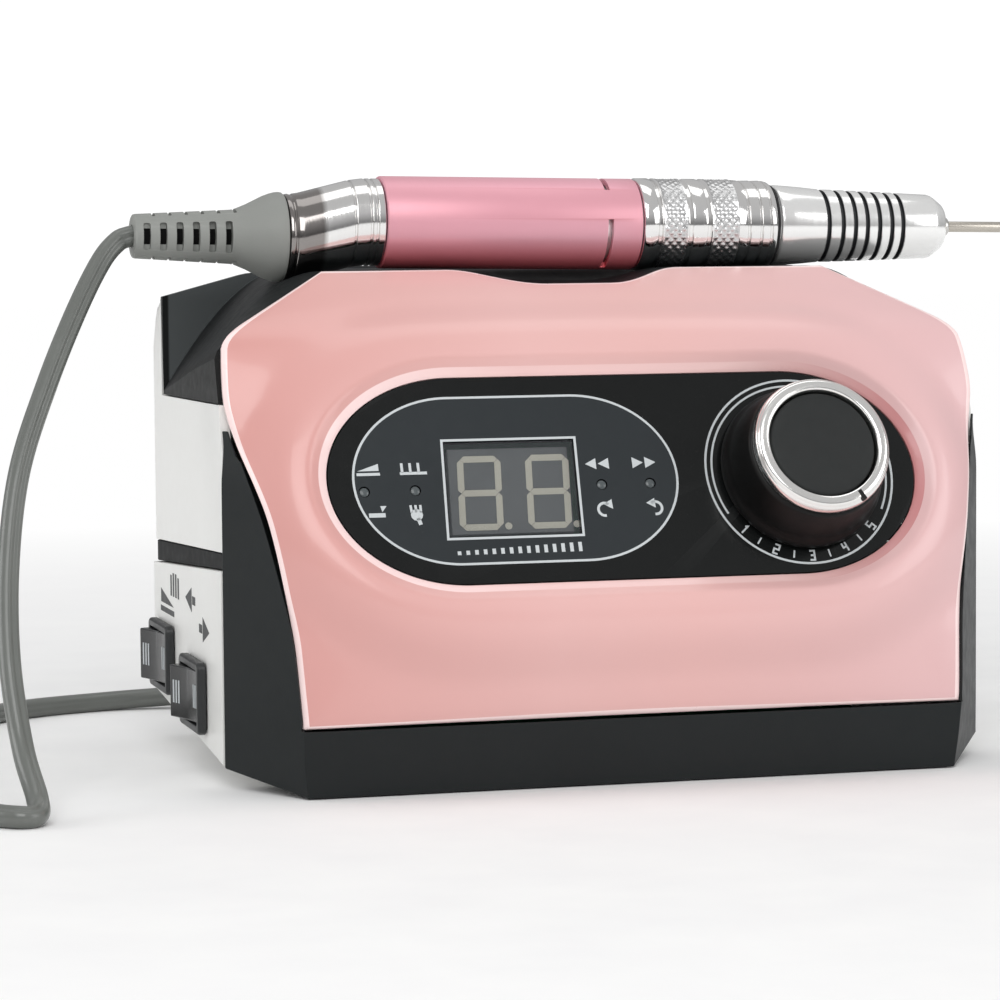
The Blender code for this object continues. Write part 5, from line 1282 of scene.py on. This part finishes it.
lathe('bit_pin', [(72.0, 0.0), (72.0, 1.0), (72.3, SHANK_R), (107.8, SHANK_R), (108.05, 1.05), (108.2, 0.8), (108.2, 0.0)], M['shank'], 'bit', ['bit_shank'],
      HP, 40, 'X', 0.0, sharp=40.0)

# ------------------------------------------------------------------ cable
ZF = CABLE_R - MAT_PROUD
CABLE = [(-92.7, 57.0, hp_axis_z(-92.5) - TAIL_DROP), (-95.4, 56.6, 109.4), (-99.4, 54.0, 105.2), (-105.6, 47.5, 95.4), (-113.2, 38.5, 81.0),
         (-120.4, 29.5, 64.0), (-124.2, 20.5, 46.0), (-125.6, 11.0, 28.0), (-124.6, 2.0, 12.0), (-123.4, -8.0, 3.6), (-124.5, -14.5, ZF),
         (-128.5, -15.5, ZF), (-133.5, -8.0, ZF), (-136.5, 10.0, ZF),
         (-137.0, 40.0, ZF), (-134.0, 75.0, ZF), (-126.0, 108.0, ZF),
         (-110.0, 133.0, ZF), (-86.0, 144.0, ZF), (-64.0, 142.0, CABLE_R + 0.2),
         (-52.5, 132.5, 3.6), (-47.2, 124.0, 6.6), (HPJ_X, 119.6, 11.6), (HPJ_X, 118.7, 17.0)]


def catmull(pts, per):
    out = []
    p = [Vector(q) for q in pts]
    p = [p[0] * 2 - p[1]] + p + [p[-1] * 2 - p[-2]]
    for i in range(1, len(p) - 2):
        for k in range(per):
            t = k / per
            a, b, c, d = p[i - 1], p[i], p[i + 1], p[i + 2]
            out.append(0.5 * ((2 * b) + (c - a) * t + (2 * a - 5 * b + 4 * c - d) * t * t + (3 * b - 3 * c + d - a) * t ** 3))
    out.append(p[-2])
    return out


def tube_bm(path, r, n):
    rings = []
    up_v = Vector((0.0, 0.0, 1.0))
    prev = None
    for i, c in enumerate(path):
        t = (path[min(i + 1, len(path) - 1)] - path[max(i - 1, 0)]).normalized()
        u = t.cross(up_v).normalized() if prev is None else (prev - t * prev.dot(t)).normalized()
        prev = u
        w = t.cross(u)
        ring = []
        for q in range(n):
            a = 2 * math.pi * q / n
            rr = r * (1.0 - 0.20 * math.exp(-((math.sin(a / 2.0) / 0.15) ** 2)) - 0.20 * math.exp(-((math.cos(a / 2.0) / 0.15) ** 2)))
            ring.append(world(c + u * (rr * math.cos(a)) + w * (rr * math.sin(a))))
        rings.append(ring)
    return rings_bm(rings)


PER = 14
path = catmull(CABLE, PER)
SPLIT = 12 * PER
path_a = [Vector((-88.0, 57.0, hp_axis_z(-88.0) - TAIL_DROP))] + path[:SPLIT + 1]
path_b = path[SPLIT:] + [Vector((HPJ_X, 118.6, 20.0))]
cable_a = finish('cable_to_handpiece', tube_bm(path_a, CABLE_R, 44), M['cable'], None, ['handpiece_cable'], sharp=60.0)
cable_b = finish('cable_to_plug', tube_bm(path_b, CABLE_R, 44), M['cable'], None, (), sharp=60.0)
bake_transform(cable_a)
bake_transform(cable_b)

plug_prof = [(-8.6, 0.0), (-8.6, 4.6), (2.2, 4.6), (2.2, 7.4), (2.5, 7.6)]
for k in range(5):
    plug_prof += [(3.0 + 1.1 * k, 7.6), (3.2 + 1.1 * k, 7.3), (3.7 + 1.1 * k, 7.3), (3.9 + 1.1 * k, 7.6)]
plug_prof += [(9.0, 7.6), (9.6, 7.2), (10.0, 6.4), (10.0, 0.0)]
lathe('plug_shell', plug_prof, M['chrome_z'], 'plug', ['cable_plug'], HJ, 72, 'Z', 0.0, sharp=40.0)
boot_ctrl = [(0.0, 10.3, 0.0, 5.6), (0.0, 13.0, -0.2, 5.2), (0.0, 15.6, -1.8, 4.6), (0.0, 17.3, -4.6, 3.9), (0.0, 18.0, -9.0, 3.1)]
bp = catmull([(HPJ_X + x, Y_BACK + y, HPJ_Z + z) for x, y, z, _ in boot_ctrl], 8)
rings = []
for i, c in enumerate(bp):
    t = (bp[min(i + 1, len(bp) - 1)] - bp[max(i - 1, 0)]).normalized()
    u = Vector((1.0, 0.0, 0.0))
    w = t.cross(u)
    f = i / 8.0
    k = min(int(f), 3)
    r = boot_ctrl[k][3] + (boot_ctrl[k + 1][3] - boot_ctrl[k][3]) * (f - k)
    r *= 1.0 - (0.06 if (i % 4 == 2 and i > 6) else 0.0)
    rings.append([world(c + u * (r * math.cos(q)) + w * (r * math.sin(q))) for q in (2 * math.pi * n / 40 for n in range(40))])
finish('plug_boot_moulding', rings_bm(rings), M['relief'], 'plug', ['plug_boot'], sharp=50.0)

# ------------------------------------------------------------------ CAD nodes that stay as they are
KEEP = {
    'base_plate': 'black', 'base_screw_front_left': 'steel', 'base_screw_front_right': 'steel', 'base_screw_rear_left': 'steel',
    'base_screw_rear_right': 'steel', 'control_board': 'board', 'power_board': 'board', 'transformer_core': 'steel',
    'transformer_coil': 'copper', 'filter_capacitor': 'socket', 'heat_sink': 'alu', 'potentiometer': 'alu', 'pot_nut': 'brass',
    'pot_shaft': 'alu', 'motor_can': 'steel', 'motor_end_cap': 'socket', 'motor_rotor': 'copper', 'drive_coupling': 'brass',
    'spindle': 'steel', 'rear_bearing': 'steel', 'front_bearing': 'steel', 'collet_spring': 'steel',
}
for nm, key in KEEP.items():
    o = NODES[nm]
    o.data.materials.clear()
    o.data.materials.append(M[key])
    if nm == 'base_plate':
        add_bevel(o, 0.4, 2, 35.0)

# ------------------------------------------------------------------ stage, light and camera
bm = bmesh.new()
bmesh.ops.create_grid(bm, x_segments=8, y_segments=8, size=4.0)
floor = finish('studio_floor', bm, None, None, recalc=False, mats=[])
fm = bpy.data.materials.new('floor_pale')
fm.use_nodes = True
nt = fm.node_tree
b = nt.nodes['Principled BSDF']
tc = nt.nodes.new('ShaderNodeTexCoord')
n = noise(nt, tc.outputs['Object'], 40.0, 3.0)
pale = mixed(nt, ranged(nt, n, 0.3, 0.7, 0.0, 1.0), (0.91, 0.91, 0.91), (0.94, 0.94, 0.935))
nt.links.new(pale, b.inputs['Base Color'])
b.inputs['Roughness'].default_value = 0.9
b.inputs['Specular IOR Level'].default_value = 0.1
# the far floor fades into the white of the studio
geo = nt.nodes.new('ShaderNodeNewGeometry')
ln = nt.nodes.new('ShaderNodeVectorMath')
ln.operation = 'LENGTH'
nt.links.new(geo.outputs['Position'], ln.inputs[0])
em = nt.nodes.new('ShaderNodeEmission')
em.inputs['Color'].default_value = (1.0, 1.0, 1.0, 1.0)
em.inputs['Strength'].default_value = 1.0
mx = nt.nodes.new('ShaderNodeMixShader')
nt.links.new(ranged(nt, ln.outputs['Value'], 0.18, 0.60, 0.0, 1.0), mx.inputs['Fac'])
nt.links.new(b.outputs['BSDF'], mx.inputs[1])
nt.links.new(em.outputs['Emission'], mx.inputs[2])
nt.links.new(mx.outputs['Shader'], nt.nodes['Material Output'].inputs['Surface'])
floor.data.materials.append(fm)

world_ = bpy.data.worlds.new('studio')
scene.world = world_
world_.use_nodes = True
nt = world_.node_tree
bg = nt.nodes['Background']
tc = nt.nodes.new('ShaderNodeTexCoord')
sx = nt.nodes.new('ShaderNodeSeparateXYZ')
nt.links.new(tc.outputs['Generated'], sx.inputs['Vector'])
ramp = nt.nodes.new('ShaderNodeValToRGB')
els = ramp.color_ramp.elements
els[0].position, els[0].color = 0.0, (0.55, 0.55, 0.56, 1)
els[1].position, els[1].color = 1.0, (0.88, 0.88, 0.88, 1)
for p, c in ((0.46, 0.40), (0.52, 0.30), (0.60, 0.55), (0.72, 0.82)):
    e = els.new(p)
    e.color = (c, c, c * 1.01, 1)
nt.links.new(ranged(nt, sx.outputs['Z'], -1.0, 1.0, 0.0, 1.0), ramp.inputs['Fac'])
lp = nt.nodes.new('ShaderNodeLightPath')
cam_white = mixed(nt, lp.outputs['Is Camera Ray'], ramp.outputs['Color'], (1.7, 1.7, 1.7))
nt.links.new(cam_white, bg.inputs['Color'])
bg.inputs['Strength'].default_value = 0.62


def area(name, loc, target, size, energy, size_y=None, col=(1, 1, 1)):
    d = bpy.data.lights.new(name, 'AREA')
    d.energy = energy
    d.color = col
    d.size = size
    if size_y is not None:
        d.shape = 'RECTANGLE'
        d.size_y = size_y
    o = bpy.data.objects.new(name, d)
    scene.collection.objects.link(o)
    o.location = loc
    o.rotation_mode = 'QUATERNION'
    o.rotation_quaternion = (Vector(target) - Vector(loc)).to_track_quat('-Z', 'Y')
    return o


area('key_softbox', (-0.40, -1.12, 0.92), (0.0, 0.0, 0.05), 0.9, 8.9)
area('top_strip', (0.05, 0.15, 1.10), (0.0, 0.0, 0.1), 1.0, 1.5, 0.5)
area('fill_right', (1.1, -0.9, 0.55), (0.0, 0.0, 0.05), 0.8, 4.8)
area('side_left', (-1.2, 0.25, 0.45), (0.0, 0.0, 0.05), 0.6, 3.2)

cam_d = bpy.data.cameras.new('camera')
cam_d.sensor_width = 36.0
cam_d.lens = 132.165
cam_d.clip_start, cam_d.clip_end = 0.02, 50.0
cam = bpy.data.objects.new('camera', cam_d)
scene.collection.objects.link(cam)
h, p, r = math.radians(15.434), math.radians(4.472), math.radians(-0.444)
fw = Vector((math.sin(h) * math.cos(p), math.cos(h) * math.cos(p), -math.sin(p)))
right0 = Vector((math.cos(h), -math.sin(h), 0.0))
up0 = right0.cross(fw)
rt = right0 * math.cos(r) + up0 * math.sin(r)
upv = -right0 * math.sin(r) + up0 * math.cos(r)
cm = Matrix((rt, upv, -fw)).transposed().to_4x4()
cm.translation = Vector((-0.22302, -0.75387, 0.11561))
cam.matrix_world = cm
scene.camera = cam
scene.view_settings.view_transform = 'Standard'
scene.view_settings.look = 'None'
